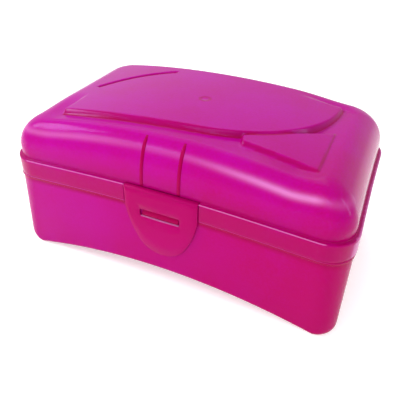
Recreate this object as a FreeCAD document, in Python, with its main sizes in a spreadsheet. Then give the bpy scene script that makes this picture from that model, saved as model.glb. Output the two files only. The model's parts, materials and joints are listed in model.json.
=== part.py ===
"""Arched plastic sewing box: deep tub, domed lid, flap latch and two lift-out trays.

Everything is drawn about the middle of the shell (x to the right, y to the back, z up) and
each finished sub-part is then moved forward by half of what the hinge stands out at the back,
so that the origin is under the middle of the whole box.
"""
import FreeCAD, Part
import math
import os
import Sketcher

SIZE_ROWS = [
    ("box_length", 210.0, "outer length of the lid's skirt"),
    ("box_width", 123.0, "outer width of the lid's skirt at its corners"),
    ("skirt_corner", 17.5, "plan radius of the skirt's corners"),
    ("waist", 2.0, "how far the long sides draw in at the middle"),
    ("seam_height", 55.0, "height of the skirt's lower edge at the two ends"),
    ("seam_rise", 2.0, "how much higher the seam is at the middle"),
    ("skirt_height", 11.0, "height of the lid's skirt"),
    ("skirt_wall", 1.6, "wall of the skirt"),
    ("dome_inset", 2.3, "step from the skirt in to the lid's wall"),
    ("dome_wall", 1.8, "wall of the lid"),
    ("crown_end_height", 93.4, "height of the top where the end shoulders begin"),
    ("crown_rise", 4.2, "further rise of the lid's low front strip to its middle"),
    ("plate_rise", 7.0, "further rise of the raised top plate to its middle"),
    ("pad_rise", 5.2, "further rise of the corner pad, if it reached the middle"),
    ("crown_half", 83.5, "half length of the crowned top"),
    ("end_shoulder", 22.5, "shoulder radius at the two ends of the lid"),
    ("front_shoulder", 20.0, "shoulder radius at the front of the lid"),
    ("plate_shoulder", 14.0, "shoulder radius at the front of the raised plate and pad"),
    ("rear_shoulder", 14.7, "shoulder radius at the back of the lid"),
    ("tub_inset", 1.0, "step from the skirt in to the tub's wall"),
    ("tub_draft", 1.6, "how far the tub's long sides lean in by the bottom"),
    ("tub_wall", 1.9, "wall and floor of the tub"),
    ("tub_top_corner", 15.5, "plan radius of the tub's corners at the rim"),
    ("tub_foot_corner", 9.0, "plan radius of the tub's corners at the bottom"),
    ("foot_inner", 92.0, "distance from the middle to the inner edge of a foot strip"),
    ("foot_round", 8.0, "radius between the ends and the bottom"),
    ("belly_rise", 11.7, "height of the arched bottom at its middle"),
    ("rim_step", 2.2, "step from the skirt in to the tub's rim"),
    ("rim_wall", 1.4, "wall of the tub's rim inside the skirt"),
    ("rim_height", 6.5, "height of the rim above the seam"),
    ("bead_inset", 0.3, "step from the skirt in to the stop bead under it"),
    ("bead_height", 2.0, "height of the stop bead"),
    ("gap", 0.3, "play between parts that do not touch"),
    ("latch_half", 22.7, "half width of the latch flap"),
    ("latch_taper_z", 55.0, "height under which the flap's sides curve in"),
    ("latch_cheek", 60.0, "radius of the flap's tapering sides"),
    ("latch_chin_half", 13.5, "half width where the flap's round end begins"),
    ("latch_chin_z", 31.0, "height where the flap's round end begins"),
    ("latch_bottom", 24.5, "height of the latch flap's round end"),
    ("latch_wall", 1.4, "thickness of the latch flap"),
    ("latch_face", 60.2, "distance from the middle to the flap's outer face"),
    ("latch_axis_y", 58.6, "distance from the middle to the latch hinge"),
    ("latch_axis_z", 66.9, "height of the latch hinge"),
    ("latch_barrel", 1.15, "radius of the latch's barrel"),
    ("latch_pin", 0.75, "radius of the latch's stub pins"),
    ("pin_play", 0.06, "radial play of a pin in its bore"),
    ("slot_half", 12.0, "half width of the slot in the flap"),
    ("slot_low", 49.5, "lower edge of the slot"),
    ("slot_high", 54.5, "upper edge of the slot"),
    ("catch_play", 0.4, "play between the catch nub and the slot's edges"),
    ("catch_bite", 0.6, "how far the nub's lower edge reaches into the slot"),
    ("catch_top", 0.2, "how far the nub's upper edge reaches into the slot"),
    ("catch_root", 1.5, "depth of the nub from the flap's inner face into the tub's wall"),
    ("rib_place", 11.3, "half of the space between the two ribs on the lid's front"),
    ("rib_shift", -1.3, "how far the pair of ribs is off the middle"),
    ("rib_width", 1.3, "width of a rib"),
    ("rib_relief", 0.8, "height of the ribs over the lid's front"),
    ("groove_depth", 1.3, "depth of the curved groove near the rear left corner"),
    ("gate_radius", 3.2, "radius of the dish round the moulding gate mark"),
    ("gate_depth", 0.4, "depth of the dish round the moulding gate mark"),
    ("hinge_axis_y", 63.6, "distance from the middle to the lid hinge"),
    ("hinge_axis_z", 54.0, "height of the lid hinge"),
    ("hinge_place", 58.0, "distance from the middle to the middle of each hinge"),
    ("knuckle_radius", 2.6, "outer radius of the hinge knuckles"),
    ("knuckle_half", 4.7, "half length of the lid's knuckle"),
    ("hinge_pin", 1.5, "radius of the hinge pin moulded between the tub's lugs"),
    ("lug_wall", 3.5, "thickness of a hinge lug on the tub"),
    ("tray_flange_z", 51.0, "height of the tray rests in the tub"),
    ("tray_flange", 1.2, "thickness of a tray's flange"),
    ("tray_inset", 4.9, "step from the skirt in to a tray's flange"),
    ("tray_lip", 2.2, "width of a tray's flange"),
    ("tray_wall", 1.3, "walls and floor of a tray"),
    ("tray_depth", 20.0, "depth of a tray under its flange"),
    ("tray_gap", 0.8, "space from the middle of the box to each tray"),
    ("rest_reach", 3.1, "how far a tray rest stands out from the tub's wall"),
    ("rest_rib", 2.4, "width of a tray rest"),
    ("rest_drop", 6.0, "height of a tray rest"),
]

CUT_HEIGHT = 120.0
CUT_DEPTH = 160.0


class Size:
    """A length with its value and the spreadsheet expression that it comes from."""

    def __init__(self, value, text):
        self.value = value
        self.text = text

    def joined(self, other, sign, value):
        return Size(value, f"({self.text} {sign} {as_size(other).text})")

    def __add__(self, other):
        return self.joined(other, "+", self.value + as_size(other).value)

    def __sub__(self, other):
        return self.joined(other, "-", self.value - as_size(other).value)

    def __mul__(self, other):
        return self.joined(other, "*", self.value * as_size(other).value)

    def __truediv__(self, other):
        return self.joined(other, "/", self.value / as_size(other).value)

    def __radd__(self, other):
        return as_size(other) + self

    def __rsub__(self, other):
        return as_size(other) - self

    def __neg__(self):
        return Size(-self.value, f"(0 - {self.text})")


def as_size(number):
    if isinstance(number, Size):
        return number
    return Size(float(number), f"({float(number)})")


def make_sheet(document):
    """Write the driving dimensions to a sheet, one row each: note, value and alias."""
    sheet = document.addObject("Spreadsheet::Sheet", "sizes")
    for row, (alias, value, note) in enumerate(SIZE_ROWS, start=1):
        sheet.set(f"A{row}", note)
        sheet.set(f"B{row}", str(value))
        sheet.setAlias(f"B{row}", alias)
    document.recompute()
    return sheet


doc = FreeCAD.newDocument("sewing_box")
sheet = make_sheet(doc)
S = {alias: Size(float(sheet.get(alias)), f"sizes.{alias}") for alias, value, note in SIZE_ROWS}


def bind(target, path, size):
    target.setExpression(path, as_size(size).text)


# ---------------------------------------------------------------- sketches and solids

def arc_geometry(start, end, radius):
    """Arc from start to end; a positive radius swells to the right of the way, a negative one
    to the left."""
    chord = end - start
    half = chord.Length / 2
    left = FreeCAD.Vector(-chord.y, chord.x, 0).normalize()
    side = left if radius > 0 else -left
    centre = (start + end) * 0.5 + side * math.sqrt(max(radius * radius - half * half, 0.0))
    angles = [math.atan2(p.y - centre.y, p.x - centre.x) for p in (start, end)]
    if radius < 0:
        angles.reverse()
    if angles[1] < angles[0]:
        angles[1] += 2 * math.pi
    circle = Part.Circle(centre, FreeCAD.Vector(0, 0, 1), abs(radius))
    return Part.ArcOfCircle(circle, angles[0], angles[1])


def draw_outline(sketch, knots):
    """Draw a closed outline, counter-clockwise.

    Each knot is (across, up, radius): where a run starts, and the radius of the arc to the
    next knot, or None for a straight run.
    """
    points = [FreeCAD.Vector(as_size(k[0]).value, as_size(k[1]).value, 0) for k in knots]
    starts = []
    ends = []
    for i, (across, up, radius) in enumerate(knots):
        start = points[i]
        end = points[(i + 1) % len(points)]
        hollow = radius is not None and radius.value < 0
        if radius is None:
            sketch.addGeometry(Part.LineSegment(start, end))
        else:
            sketch.addGeometry(arc_geometry(start, end, radius.value))
        starts.append(2 if hollow else 1)
        ends.append(1 if hollow else 2)
    for i in range(len(knots)):
        following = (i + 1) % len(knots)
        joint = Sketcher.Constraint("Coincident", i, ends[i], following, starts[following])
        sketch.addConstraint(joint)
    for i, (across, up, radius) in enumerate(knots):
        for kind, size in (("DistanceX", across), ("DistanceY", up)):
            value = as_size(size).value
            at = sketch.addConstraint(Sketcher.Constraint(kind, -1, 1, i, starts[i], value))
            bind(sketch, f"Constraints[{at}]", size)
        if radius is not None:
            outward = radius if radius.value > 0 else -radius
            at = sketch.addConstraint(Sketcher.Constraint("Radius", i, outward.value))
            bind(sketch, f"Constraints[{at}]", outward)


def add_sketch(body, name, role, knots, lift=None):
    sketch = body.newObject("Sketcher::SketchObject", name)
    plane = [part for part in body.Origin.OriginFeatures if part.Role == role][0]
    sketch.AttachmentSupport = [(plane, "")]
    sketch.MapMode = "FlatFace"
    if lift is not None:
        bind(sketch, "AttachmentOffset.Base.z", lift)
    draw_outline(sketch, knots)
    return sketch


def prism(name, role, knots, length, middle=False, lift=None):
    """A body with one pad of an outline on an origin plane."""
    body = doc.addObject("PartDesign::Body", name)
    sketch = add_sketch(body, name + "_outline", role, knots, lift)
    pad = body.newObject("PartDesign::Pad", name + "_pad")
    pad.Profile = sketch
    pad.SideType = "Symmetric" if middle else "One side"
    bind(pad, "Length", length)
    return body


def box(name, low, high):
    """A block between two corners, each given as three sizes."""
    block = doc.addObject("Part::Box", name)
    for axis, side, start, end in zip("xyz", ("Length", "Width", "Height"), low, high):
        bind(block, f"Placement.Base.{axis}", start)
        bind(block, side, as_size(end) - start)
    return block


def rod(name, low_x, high_x, y, z, radius):
    """A cylinder that lies along x."""
    bar = doc.addObject("Part::Cylinder", name)
    bar.Placement = FreeCAD.Placement(
        FreeCAD.Vector(), FreeCAD.Rotation(FreeCAD.Vector(0, 1, 0), 90)
    )
    bind(bar, "Placement.Base.x", low_x)
    bind(bar, "Placement.Base.y", y)
    bind(bar, "Placement.Base.z", z)
    bind(bar, "Radius", radius)
    bind(bar, "Height", as_size(high_x) - low_x)
    return bar


def common(name, *shapes):
    joined = doc.addObject("Part::MultiCommon", name)
    joined.Shapes = list(shapes)
    return joined


def fuse(name, *shapes):
    joined = doc.addObject("Part::MultiFuse", name)
    joined.Shapes = list(shapes)
    return joined


def cut(name, base, *tools):
    rest = doc.addObject("Part::Cut", name)
    rest.Base = base
    rest.Tool = tools[0] if len(tools) == 1 else fuse(name + "_tools", *tools)
    return rest


# ---------------------------------------------------------------- outlines that repeat

def chord_radius(half_chord, rise):
    """Radius of the arc over a chord from its rise."""
    return (half_chord * half_chord + rise * rise) / (rise * 2)


def drawn_in(place):
    """How far the long sides are drawn in at a distance from the middle."""
    straight = S["box_length"] / 2 - S["skirt_corner"]
    return S["waist"] - S["waist"] * place * place / (straight * straight)


def mirrored(side, near, far):
    """The lower and upper end of a span that starts near the middle, on either side."""
    if side > 0:
        return (near, far)
    return (-as_size(far), -as_size(near))


def plan_knots(inset_x, inset_y, corner):
    """Round-cornered plan with straight ends and drawn-in long sides."""
    half_x = S["box_length"] / 2 - inset_x
    half_y = S["box_width"] / 2 - inset_y
    side_x = half_x - corner
    side_y = half_y - corner
    hollow = -chord_radius(side_x, S["waist"])
    return [
        (-side_x, -half_y, hollow),
        (side_x, -half_y, corner),
        (half_x, -side_y, None),
        (half_x, side_y, corner),
        (side_x, half_y, hollow),
        (-side_x, half_y, corner),
        (-half_x, side_y, None),
        (-half_x, -side_y, corner),
    ]


def plan_prism(name, inset):
    """The shell's plan, inset from the skirt, as high as the whole box."""
    corner = S["skirt_corner"] - inset
    return prism(name, "XY_Plane", plan_knots(inset, inset, corner), as_size(CUT_HEIGHT))


def seam_strip(name, low, high):
    """What lies between two copies of the arched seam, low and high above it."""
    half_x = S["box_length"] / 2
    seam_arc = chord_radius(half_x, S["seam_rise"])
    bottom = S["seam_height"] + low
    top = S["seam_height"] + high
    knots = [
        (-half_x, bottom, -seam_arc),
        (half_x, bottom, None),
        (half_x, top, seam_arc),
        (-half_x, top, None),
    ]
    return prism(name, "XZ_Plane", knots, as_size(CUT_DEPTH), middle=True)


# ---------------------------------------------------------------- tub

def tub_loft(name, inset, foot_inset, foot_corner, top_inset, top_corner):
    """Leaning tub wall: a ruled loft from the bottom plan to the plan at the rim."""
    top = S["seam_height"] + S["seam_rise"] + S["rim_height"] + 4
    body = doc.addObject("PartDesign::Body", name)
    foot = add_sketch(body, name + "_foot", "XY_Plane", plan_knots(inset, foot_inset, foot_corner))
    rim_knots = plan_knots(top_inset, top_inset, top_corner)
    rim = add_sketch(body, name + "_rim", "XY_Plane", rim_knots, lift=top)
    loft = body.newObject("PartDesign::AdditiveLoft", name + "_loft")
    loft.Profile = foot
    loft.Sections = [rim]
    loft.Ruled = True
    return body


def belly_knots(inset, floor, top):
    """Front view of the tub: round lower ends, two foot strips and an arched belly."""
    half_x = S["box_length"] / 2 - inset
    foot = S["foot_inner"]
    rounding = S["foot_round"] - floor
    foot_end = half_x - rounding
    belly = -chord_radius(foot, S["belly_rise"])
    seam_arc = chord_radius(half_x, S["seam_rise"])
    return [
        (-foot_end, floor, None),
        (-foot, floor, belly),
        (foot, floor, None),
        (foot_end, floor, rounding),
        (half_x, floor + rounding, None),
        (half_x, top, seam_arc),
        (-half_x, top, None),
        (-half_x, floor + rounding, rounding),
    ]


def tub_shell():
    """Outer wall, rim and stop bead, hollowed by the cavity."""
    inset = S["tub_inset"]
    outer = tub_loft(
        "tub_outer", inset, inset + S["tub_draft"], S["tub_foot_corner"],
        inset, S["tub_top_corner"],
    )
    outer_view = prism(
        "tub_outer_view", "XZ_Plane", belly_knots(inset, as_size(0), S["seam_height"]),
        as_size(CUT_DEPTH), middle=True,
    )
    wall = common("tub_walls", outer, outer_view)
    rim = common(
        "tub_rim", plan_prism("rim_plan", S["rim_step"]),
        seam_strip("rim_strip", -S["bead_height"], S["rim_height"]),
    )
    bead = common(
        "tub_bead", plan_prism("bead_plan", S["bead_inset"]),
        seam_strip("bead_strip", -S["bead_height"], as_size(0)),
    )
    clear = S["latch_half"] + S["gap"]
    latch_gap = box(
        "bead_gap",
        (-clear, -S["box_width"], S["seam_height"] - 5),
        (clear, -(S["latch_face"] - S["latch_wall"] - S["gap"]), S["seam_height"] + 20),
    )
    bead = cut("tub_bead_cut", bead, latch_gap)
    inner_inset = S["rim_step"] + S["rim_wall"]
    inner = tub_loft(
        "tub_inner", inner_inset, inset + S["tub_draft"] + S["tub_wall"],
        S["tub_foot_corner"] - 1, inner_inset, S["skirt_corner"] - inner_inset,
    )
    inner_view = prism(
        "tub_inner_view", "XZ_Plane",
        belly_knots(inner_inset, S["tub_wall"], S["seam_height"] + S["rim_height"] + 4),
        as_size(CUT_DEPTH), middle=True,
    )
    cavity = common("tub_cavity", inner, inner_view)
    return cut("tub_shell", fuse("tub_solid", wall, rim, bead), cavity)


def catch_nub():
    """The nub on the tub's front that hooks the slot's lower edge, with a ramp on top."""
    low = S["slot_low"] + S["catch_play"]
    high = S["slot_high"] - S["catch_play"]
    flap_inside = S["latch_face"] - S["latch_wall"]
    root = flap_inside - S["catch_root"]
    knots = [
        (-(flap_inside + S["catch_bite"]), low, None),
        (-root, low, None),
        (-root, high, None),
        (-(flap_inside + S["catch_top"]), high, None),
        (-(flap_inside + S["catch_bite"]), low + 1.2, None),
    ]
    width = (S["slot_half"] - S["catch_play"]) * 2
    return prism("catch_nub", "YZ_Plane", knots, width, middle=True)


def tray_rests():
    """Small ribs on the tub's walls that carry the trays' flanges."""
    rests = []
    half_rib = S["rest_rib"] / 2
    top = S["tray_flange_z"]
    low = top - S["rest_drop"]
    rim_inset = S["rim_step"] + S["rim_wall"]
    wall_x = S["box_length"] / 2 - rim_inset
    reach = S["rest_reach"]
    for side in (-1, 1):
        for place in (14.0, 76.0):
            wall_y = S["box_width"] / 2 - rim_inset - drawn_in(place)
            for face in (-1, 1):
                span_y = mirrored(face, wall_y - reach, wall_y + 1)
                low_corner = (as_size(side * place) - half_rib, span_y[0], low)
                high_corner = (as_size(side * place) + half_rib, span_y[1], top)
                rests.append(box(f"rest_{len(rests)}", low_corner, high_corner))
        for place in (-30.0, 30.0):
            span_x = mirrored(side, wall_x - reach, wall_x + 1)
            low_corner = (span_x[0], as_size(place) - half_rib, low)
            high_corner = (span_x[1], as_size(place) + half_rib, top)
            rests.append(box(f"rest_{len(rests)}", low_corner, high_corner))
    return rests


def hinge_lugs():
    """Two pairs of lugs at the back of the tub, each pair with its own moulded pin."""
    pieces = []
    axis_y = S["hinge_axis_y"]
    axis_z = S["hinge_axis_z"]
    radius = S["knuckle_radius"]
    inner = S["knuckle_half"] + S["gap"]
    outer = inner + S["lug_wall"]
    wall_y = S["box_width"] / 2 - S["rim_step"] - S["rim_wall"] + 0.4
    for side in (-1, 1):
        middle = S["hinge_place"] * side
        tag = "right" if side > 0 else "left"
        spans = {"near": (middle - outer, middle - inner), "far": (middle + inner, middle + outer)}
        for end, (low_x, high_x) in spans.items():
            pieces.append(rod(f"lug_{tag}_{end}", low_x, high_x, axis_y, axis_z, radius))
            pieces.append(
                box(
                    f"lug_web_{tag}_{end}",
                    (low_x, wall_y - S["waist"], axis_z - radius),
                    (high_x, axis_y, axis_z + 0.6),
                )
            )
        pieces.append(
            rod(f"lid_pin_{tag}", middle - outer, middle + outer, axis_y, axis_z, S["hinge_pin"])
        )
    return pieces


# ---------------------------------------------------------------- lid

def dome(name, inset, wall, rise, front_shoulder):
    """The lid's dome: its plan, its front view and its cross-section swept along the crown."""
    half_x = S["box_length"] / 2 - inset
    half_y = S["box_width"] / 2 - inset
    foot = S["seam_height"] + 2
    crown_half = S["crown_half"]
    crown_z = S["crown_end_height"] - wall
    shoulder = S["end_shoulder"] - wall
    crown_arc = chord_radius(crown_half, rise)
    shoulder_z = crown_z - (half_x - crown_half)
    view_knots = [
        (-half_x, foot, None),
        (half_x, foot, None),
        (half_x, shoulder_z, shoulder),
        (crown_half, crown_z, crown_arc),
        (-crown_half, crown_z, shoulder),
        (-half_x, shoulder_z, None),
    ]
    view = prism(name + "_view", "XZ_Plane", view_knots, as_size(CUT_DEPTH), middle=True)
    plan = plan_prism(name + "_plan", inset)
    top = S["crown_end_height"] + rise - wall
    front = front_shoulder - wall
    rear = S["rear_shoulder"] - wall
    section_knots = [
        (-half_y, as_size(10), None),
        (half_y, as_size(10), None),
        (half_y, top - rear, rear),
        (half_y - rear, top, None),
        (-(half_y - front), top, front),
        (-half_y, top - front, None),
    ]
    sweep = doc.addObject("PartDesign::Body", name + "_sweep")
    section = add_sketch(sweep, name + "_section", "YZ_Plane", section_knots)
    centre_z = S["crown_end_height"] + rise - crown_arc
    axis = section.addGeometry(
        Part.LineSegment(
            FreeCAD.Vector(-20, centre_z.value, 0), FreeCAD.Vector(20, centre_z.value, 0)
        ),
        True,
    )
    section.addConstraint(Sketcher.Constraint("Horizontal", axis))
    for end, across in ((1, -20.0), (2, 20.0)):
        section.addConstraint(Sketcher.Constraint("DistanceX", -1, 1, axis, end, across))
    at = section.addConstraint(
        Sketcher.Constraint("DistanceY", -1, 1, axis, 1, centre_z.value)
    )
    bind(section, f"Constraints[{at}]", centre_z)
    turn = sweep.newObject("PartDesign::Revolution", name + "_turn")
    turn.Profile = section
    turn.ReferenceAxis = (section, ["Axis0"])
    turn.Angle = 40.0
    turn.Midplane = True
    return common(name, plan, view, sweep)


def raised(name, outline_knots, skin):
    """A figure that stands on the lid's top: an upright prism trimmed by the raised skin."""
    block = prism(
        name + "_block", "XY_Plane", outline_knots, as_size(40.0),
        lift=S["crown_end_height"] - 12,
    )
    return common(name, block, skin)


def plate_knots(inset):
    """Raised plate: all of the top behind a long curve that sweeps to the rear right."""
    left = -S["crown_half"]
    rear = S["box_width"] / 2
    return [
        (left, inset - 34.0, None),
        (as_size(-73.0), inset - 41.0, as_size(700.0)),
        (as_size(12.0), inset - 35.5, as_size(75.0) - inset),
        (75.8 - inset, as_size(37.0), as_size(3.0)),
        (76.5 - inset, as_size(41.0), None),
        (-left - inset, rear, None),
        (left, rear, None),
    ]


def pad_knots(inset):
    """Three-cornered pad in front of the curve, near the front right corner."""
    return [
        (inset + 34.5, as_size(-30.0), None),
        (inset + 37.0, inset - 37.8, None),
        (75.3 - inset, inset - 42.6, as_size(2.5)),
        (77.5 - inset, inset - 40.0, None),
        (77.5 - inset, as_size(-1.0), as_size(2.5)),
        (75.0 - inset, as_size(1.0), as_size(-120.0)),
    ]


def groove_knots():
    """Crescent along the curved step near the rear left corner."""
    return [
        (as_size(-77.6), as_size(-3.0), as_size(-90.0)),
        (as_size(-36.6), as_size(35.6), None),
        (as_size(-36.6), as_size(38.0), as_size(86.0)),
        (as_size(-77.6), as_size(-1.0), None),
    ]


def lid_relief(name, inset, wall):
    """The raised plate and the corner pad, or the hollow under them."""
    edge = S["dome_wall"] if wall.value > 0 else as_size(0)
    levels = {
        "plate": (plate_knots(edge), S["plate_rise"]),
        "pad": (pad_knots(edge), S["pad_rise"]),
    }
    figures = []
    for figure, (knots, rise) in levels.items():
        skin = dome(f"{name}_{figure}_skin", inset, wall, rise, S["plate_shoulder"])
        figures.append(raised(f"{name}_{figure}", knots, skin))
    return figures


def lid_ribs(inset):
    """Two upright ribs on the lid's front over the latch."""
    relief = S["rib_relief"]
    skin = dome("rib_skin", inset - relief, -relief, S["crown_rise"], S["front_shoulder"])
    ribs = []
    front = S["box_width"] / 2
    for side in (-1, 1):
        tag = "right" if side > 0 else "left"
        middle = S["rib_place"] * side + S["rib_shift"]
        slab = box(
            f"rib_slab_{tag}",
            (middle - S["rib_width"] / 2, -front, S["seam_height"] + S["skirt_height"]),
            (middle + S["rib_width"] / 2, -(front - S["rib_place"]), S["crown_end_height"]),
        )
        ribs.append(common(f"rib_{tag}", slab, skin))
    return ribs


def lid_marks(inset):
    """The curved groove and the dished gate mark, to be cut from the raised plate."""
    floor = dome("groove_floor", inset, S["groove_depth"], S["plate_rise"], S["plate_shoulder"])
    crescent = prism(
        "groove_block", "XY_Plane", groove_knots(), S["box_width"],
        lift=S["crown_end_height"] - S["end_shoulder"],
    )
    top = S["crown_end_height"] + S["plate_rise"]
    radius = S["gate_radius"]
    ball_radius = chord_radius(radius, S["gate_depth"])
    ball = doc.addObject("Part::Sphere", "gate_dish")
    bind(ball, "Radius", ball_radius)
    bind(ball, "Placement.Base.z", top - S["gate_depth"] + ball_radius)
    return [cut("groove", crescent, floor), ball]


def lid_knuckles():
    """The lid's hinge hooks: a ring round each pin, open below, on an arm from the skirt."""
    pieces = []
    axis_y = S["hinge_axis_y"]
    axis_z = S["hinge_axis_z"]
    radius = S["knuckle_radius"]
    half = S["knuckle_half"]
    arm_root = S["box_width"] / 2 - S["waist"]
    for side in (-1, 1):
        middle = S["hinge_place"] * side
        tag = "right" if side > 0 else "left"
        low_x = middle - half
        high_x = middle + half
        bore = S["hinge_pin"] + S["pin_play"]
        ring = rod(f"knuckle_{tag}", low_x, high_x, axis_y, axis_z, radius)
        arm = box(
            f"knuckle_arm_{tag}",
            (low_x, arm_root, axis_z + radius + 1),
            (high_x, axis_y + radius - 0.6, axis_z + radius + 4),
        )
        neck = box(
            f"knuckle_neck_{tag}",
            (low_x, axis_y - 0.6, axis_z),
            (high_x, axis_y + radius - 0.6, axis_z + radius + 2),
        )
        hook = fuse(f"knuckle_solid_{tag}", ring, arm, neck)
        hole = rod(f"knuckle_bore_{tag}", low_x - 1, high_x + 1, axis_y, axis_z, bore)
        mouth = box(
            f"knuckle_mouth_{tag}",
            (low_x - 1, axis_y - 1.2, axis_z - radius - 1),
            (high_x + 1, axis_y + 1.2, axis_z),
        )
        pieces.append(cut(f"hook_{tag}", hook, hole, mouth))
    return pieces


def lid_shell():
    skirt = common(
        "skirt", plan_prism("skirt_plan", as_size(0)),
        seam_strip("skirt_strip", as_size(0), S["skirt_height"]),
    )
    skirt_inside = common(
        "skirt_inside", plan_prism("skirt_inside_plan", S["skirt_wall"]),
        seam_strip("skirt_inside_strip", as_size(-6), S["skirt_height"] - S["skirt_wall"]),
    )
    inset = S["dome_inset"]
    wall = S["dome_wall"]
    rise = S["crown_rise"]
    outside = dome("dome_outside", inset, as_size(0), rise, S["front_shoulder"])
    inside = dome("dome_inside", inset + wall, wall, rise, S["front_shoulder"])
    clear = S["latch_half"] + S["gap"]
    notch = box(
        "latch_notch",
        (-clear, -S["box_width"], S["seam_height"] - 5),
        (clear, -(S["latch_axis_y"] - S["latch_barrel"] - 0.2), S["latch_axis_z"] + 6),
    )
    figures = lid_relief("raised", inset, as_size(0)) + lid_ribs(inset)
    solid = fuse("lid_solid", skirt, outside, *figures)
    ears = []
    holes = []
    bore = S["latch_pin"] + S["pin_play"]
    for side in (-1, 1):
        tag = "right" if side > 0 else "left"
        ear_x = mirrored(side, clear, clear + 4)
        hole_x = mirrored(side, clear - 1, clear + 3.5)
        low_corner = (ear_x[0], -(S["box_width"] / 2 - S["waist"] + 0.1), S["latch_axis_z"] - 2.4)
        high_corner = (ear_x[1], -(S["box_width"] / 2 - 5.2), S["latch_axis_z"] + 1.2)
        ears.append(box(f"latch_ear_{tag}", low_corner, high_corner))
        axis = (-S["latch_axis_y"], S["latch_axis_z"])
        holes.append(rod(f"latch_hole_{tag}", hole_x[0], hole_x[1], axis[0], axis[1], bore))
    hollows = lid_relief("hollow", inset + wall, wall)
    hollow = cut("lid_hollow", solid, skirt_inside, inside, notch, *hollows, *lid_marks(inset))
    return cut("lid_walls", fuse("lid_with_ears", hollow, *ears), *holes)


# ---------------------------------------------------------------- latch

def latch_flap():
    """Round-ended flap with a slot, a barrel along its top edge and a stub pin at each end."""
    half = S["latch_half"]
    taper_z = S["latch_taper_z"]
    cheek = S["latch_cheek"]
    chin = S["latch_chin_half"]
    chin_z = S["latch_chin_z"]
    chin_arc = chord_radius(chin, chin_z - S["latch_bottom"])
    top = S["latch_axis_z"]
    knots = [
        (-half, top, None),
        (-half, taper_z, cheek),
        (-chin, chin_z, chin_arc),
        (chin, chin_z, cheek),
        (half, taper_z, None),
        (half, top, None),
    ]
    plate = prism("flap_plate", "XZ_Plane", knots, S["latch_wall"])
    bind(plate, "Placement.Base.y", -(S["latch_face"] - S["latch_wall"]))
    slot = box(
        "flap_slot",
        (-S["slot_half"], -S["box_width"], S["slot_low"]),
        (S["slot_half"], as_size(0), S["slot_high"]),
    )
    axis_y = -S["latch_axis_y"]
    axis_z = S["latch_axis_z"]
    barrel = rod("flap_barrel", -half, half, axis_y, axis_z, S["latch_barrel"])
    pin = rod("flap_pins", -(half + 3.2), half + 3.2, axis_y, axis_z, S["latch_pin"])
    return fuse("flap", cut("flap_slotted", plate, slot), barrel, pin)


# ---------------------------------------------------------------- trays

def tray(name, side, cross_walls):
    """One lift-out tray: flange, bowl, a long wall, cross walls and a grip tab."""
    flange_z = S["tray_flange_z"]
    near = S["tray_gap"]
    far = S["box_length"] / 2
    floor_z = flange_z - S["tray_depth"]

    def half_block(tag, start, low, high):
        reach = mirrored(side, start, far)
        return box(
            f"{name}_{tag}", (reach[0], -S["box_width"], low), (reach[1], S["box_width"], high)
        )

    bowl_inset = S["tray_inset"] + S["tray_lip"]
    flange = common(
        f"{name}_flange", plan_prism(f"{name}_flange_plan", S["tray_inset"]),
        half_block("flange_block", near, flange_z, flange_z + S["tray_flange"]),
    )
    bowl = common(
        f"{name}_bowl", plan_prism(f"{name}_bowl_plan", bowl_inset),
        half_block("bowl_block", near, floor_z, flange_z + S["tray_flange"]),
    )
    hollow = common(
        f"{name}_hollow", plan_prism(f"{name}_hollow_plan", bowl_inset + S["tray_wall"]),
        half_block(
            "hollow_block", near + S["tray_wall"], floor_z + S["tray_wall"], flange_z + 10
        ),
    )
    wall_top = flange_z - 1.5
    half_wall = S["tray_wall"] / 2
    inner_x = S["box_length"] / 2 - bowl_inset - 0.6
    long_y = -10.0
    reach = mirrored(side, near + 0.5, inner_x)
    walls = [
        box(
            f"{name}_long_wall", (reach[0], as_size(long_y) - half_wall, floor_z + 0.5),
            (reach[1], as_size(long_y) + half_wall, wall_top),
        )
    ]
    for number, (place, row) in enumerate(cross_walls):
        end_y = S["box_width"] / 2 - bowl_inset - drawn_in(place) - half_wall
        low_y, high_y = (as_size(long_y), end_y) if row == "rear" else (-end_y, as_size(long_y))
        walls.append(
            box(
                f"{name}_cross_wall_{number}",
                (as_size(side * place) - half_wall, low_y, floor_z + 0.5),
                (as_size(side * place) + half_wall, high_y, wall_top),
            )
        )
    tab_half = 13.0
    tab_x = mirrored(side, near, near + S["tray_wall"])
    tab = prism(
        f"{name}_tab", "YZ_Plane",
        [
            (as_size(-tab_half), flange_z - 2, None),
            (as_size(tab_half), flange_z - 2, None),
            (as_size(tab_half), flange_z + 6, as_size(8.0)),
            (as_size(tab_half - 8), flange_z + 14, None),
            (as_size(-tab_half + 8), flange_z + 14, as_size(8.0)),
            (as_size(-tab_half), flange_z + 6, None),
        ],
        S["tray_wall"],
    )
    bind(tab, "Placement.Base.x", tab_x[0])
    shell = cut(f"{name}_shell", fuse(f"{name}_solid", flange, bowl), hollow)
    return fuse(f"{name}_whole", shell, tab, *walls)


# ---------------------------------------------------------------- assembly

def finished(label, shape):
    """Give a sub-part its name and move it so that the origin is under the whole box."""
    overhang = S["hinge_axis_y"] + S["knuckle_radius"] - S["box_width"] / 2
    shape.Label = label
    bind(shape, "Placement.Base.y", -(overhang / 2))
    return shape


parts = [
    finished("tub", fuse("tub_whole", tub_shell(), catch_nub(), *tray_rests(), *hinge_lugs())),
    finished("lid", fuse("lid_whole", lid_shell(), *lid_knuckles())),
    finished("latch", latch_flap()),
    finished("left_tray", tray("left", -1, [(52.0, "rear")])),
    finished("right_tray", tray("right", 1, [(36.0, "rear"), (66.0, "rear"), (52.0, "front")])),
]
doc.recompute()

for item in doc.Objects:
    if "Invalid" in item.State or "Error" in item.State:
        raise RuntimeError(f"{item.Name} failed: {item.State}")
for part in parts:
    if part.Shape.isNull() or not part.Shape.isValid() or not part.Shape.Solids:
        raise RuntimeError(f"{part.Label} has no valid solid")

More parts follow.
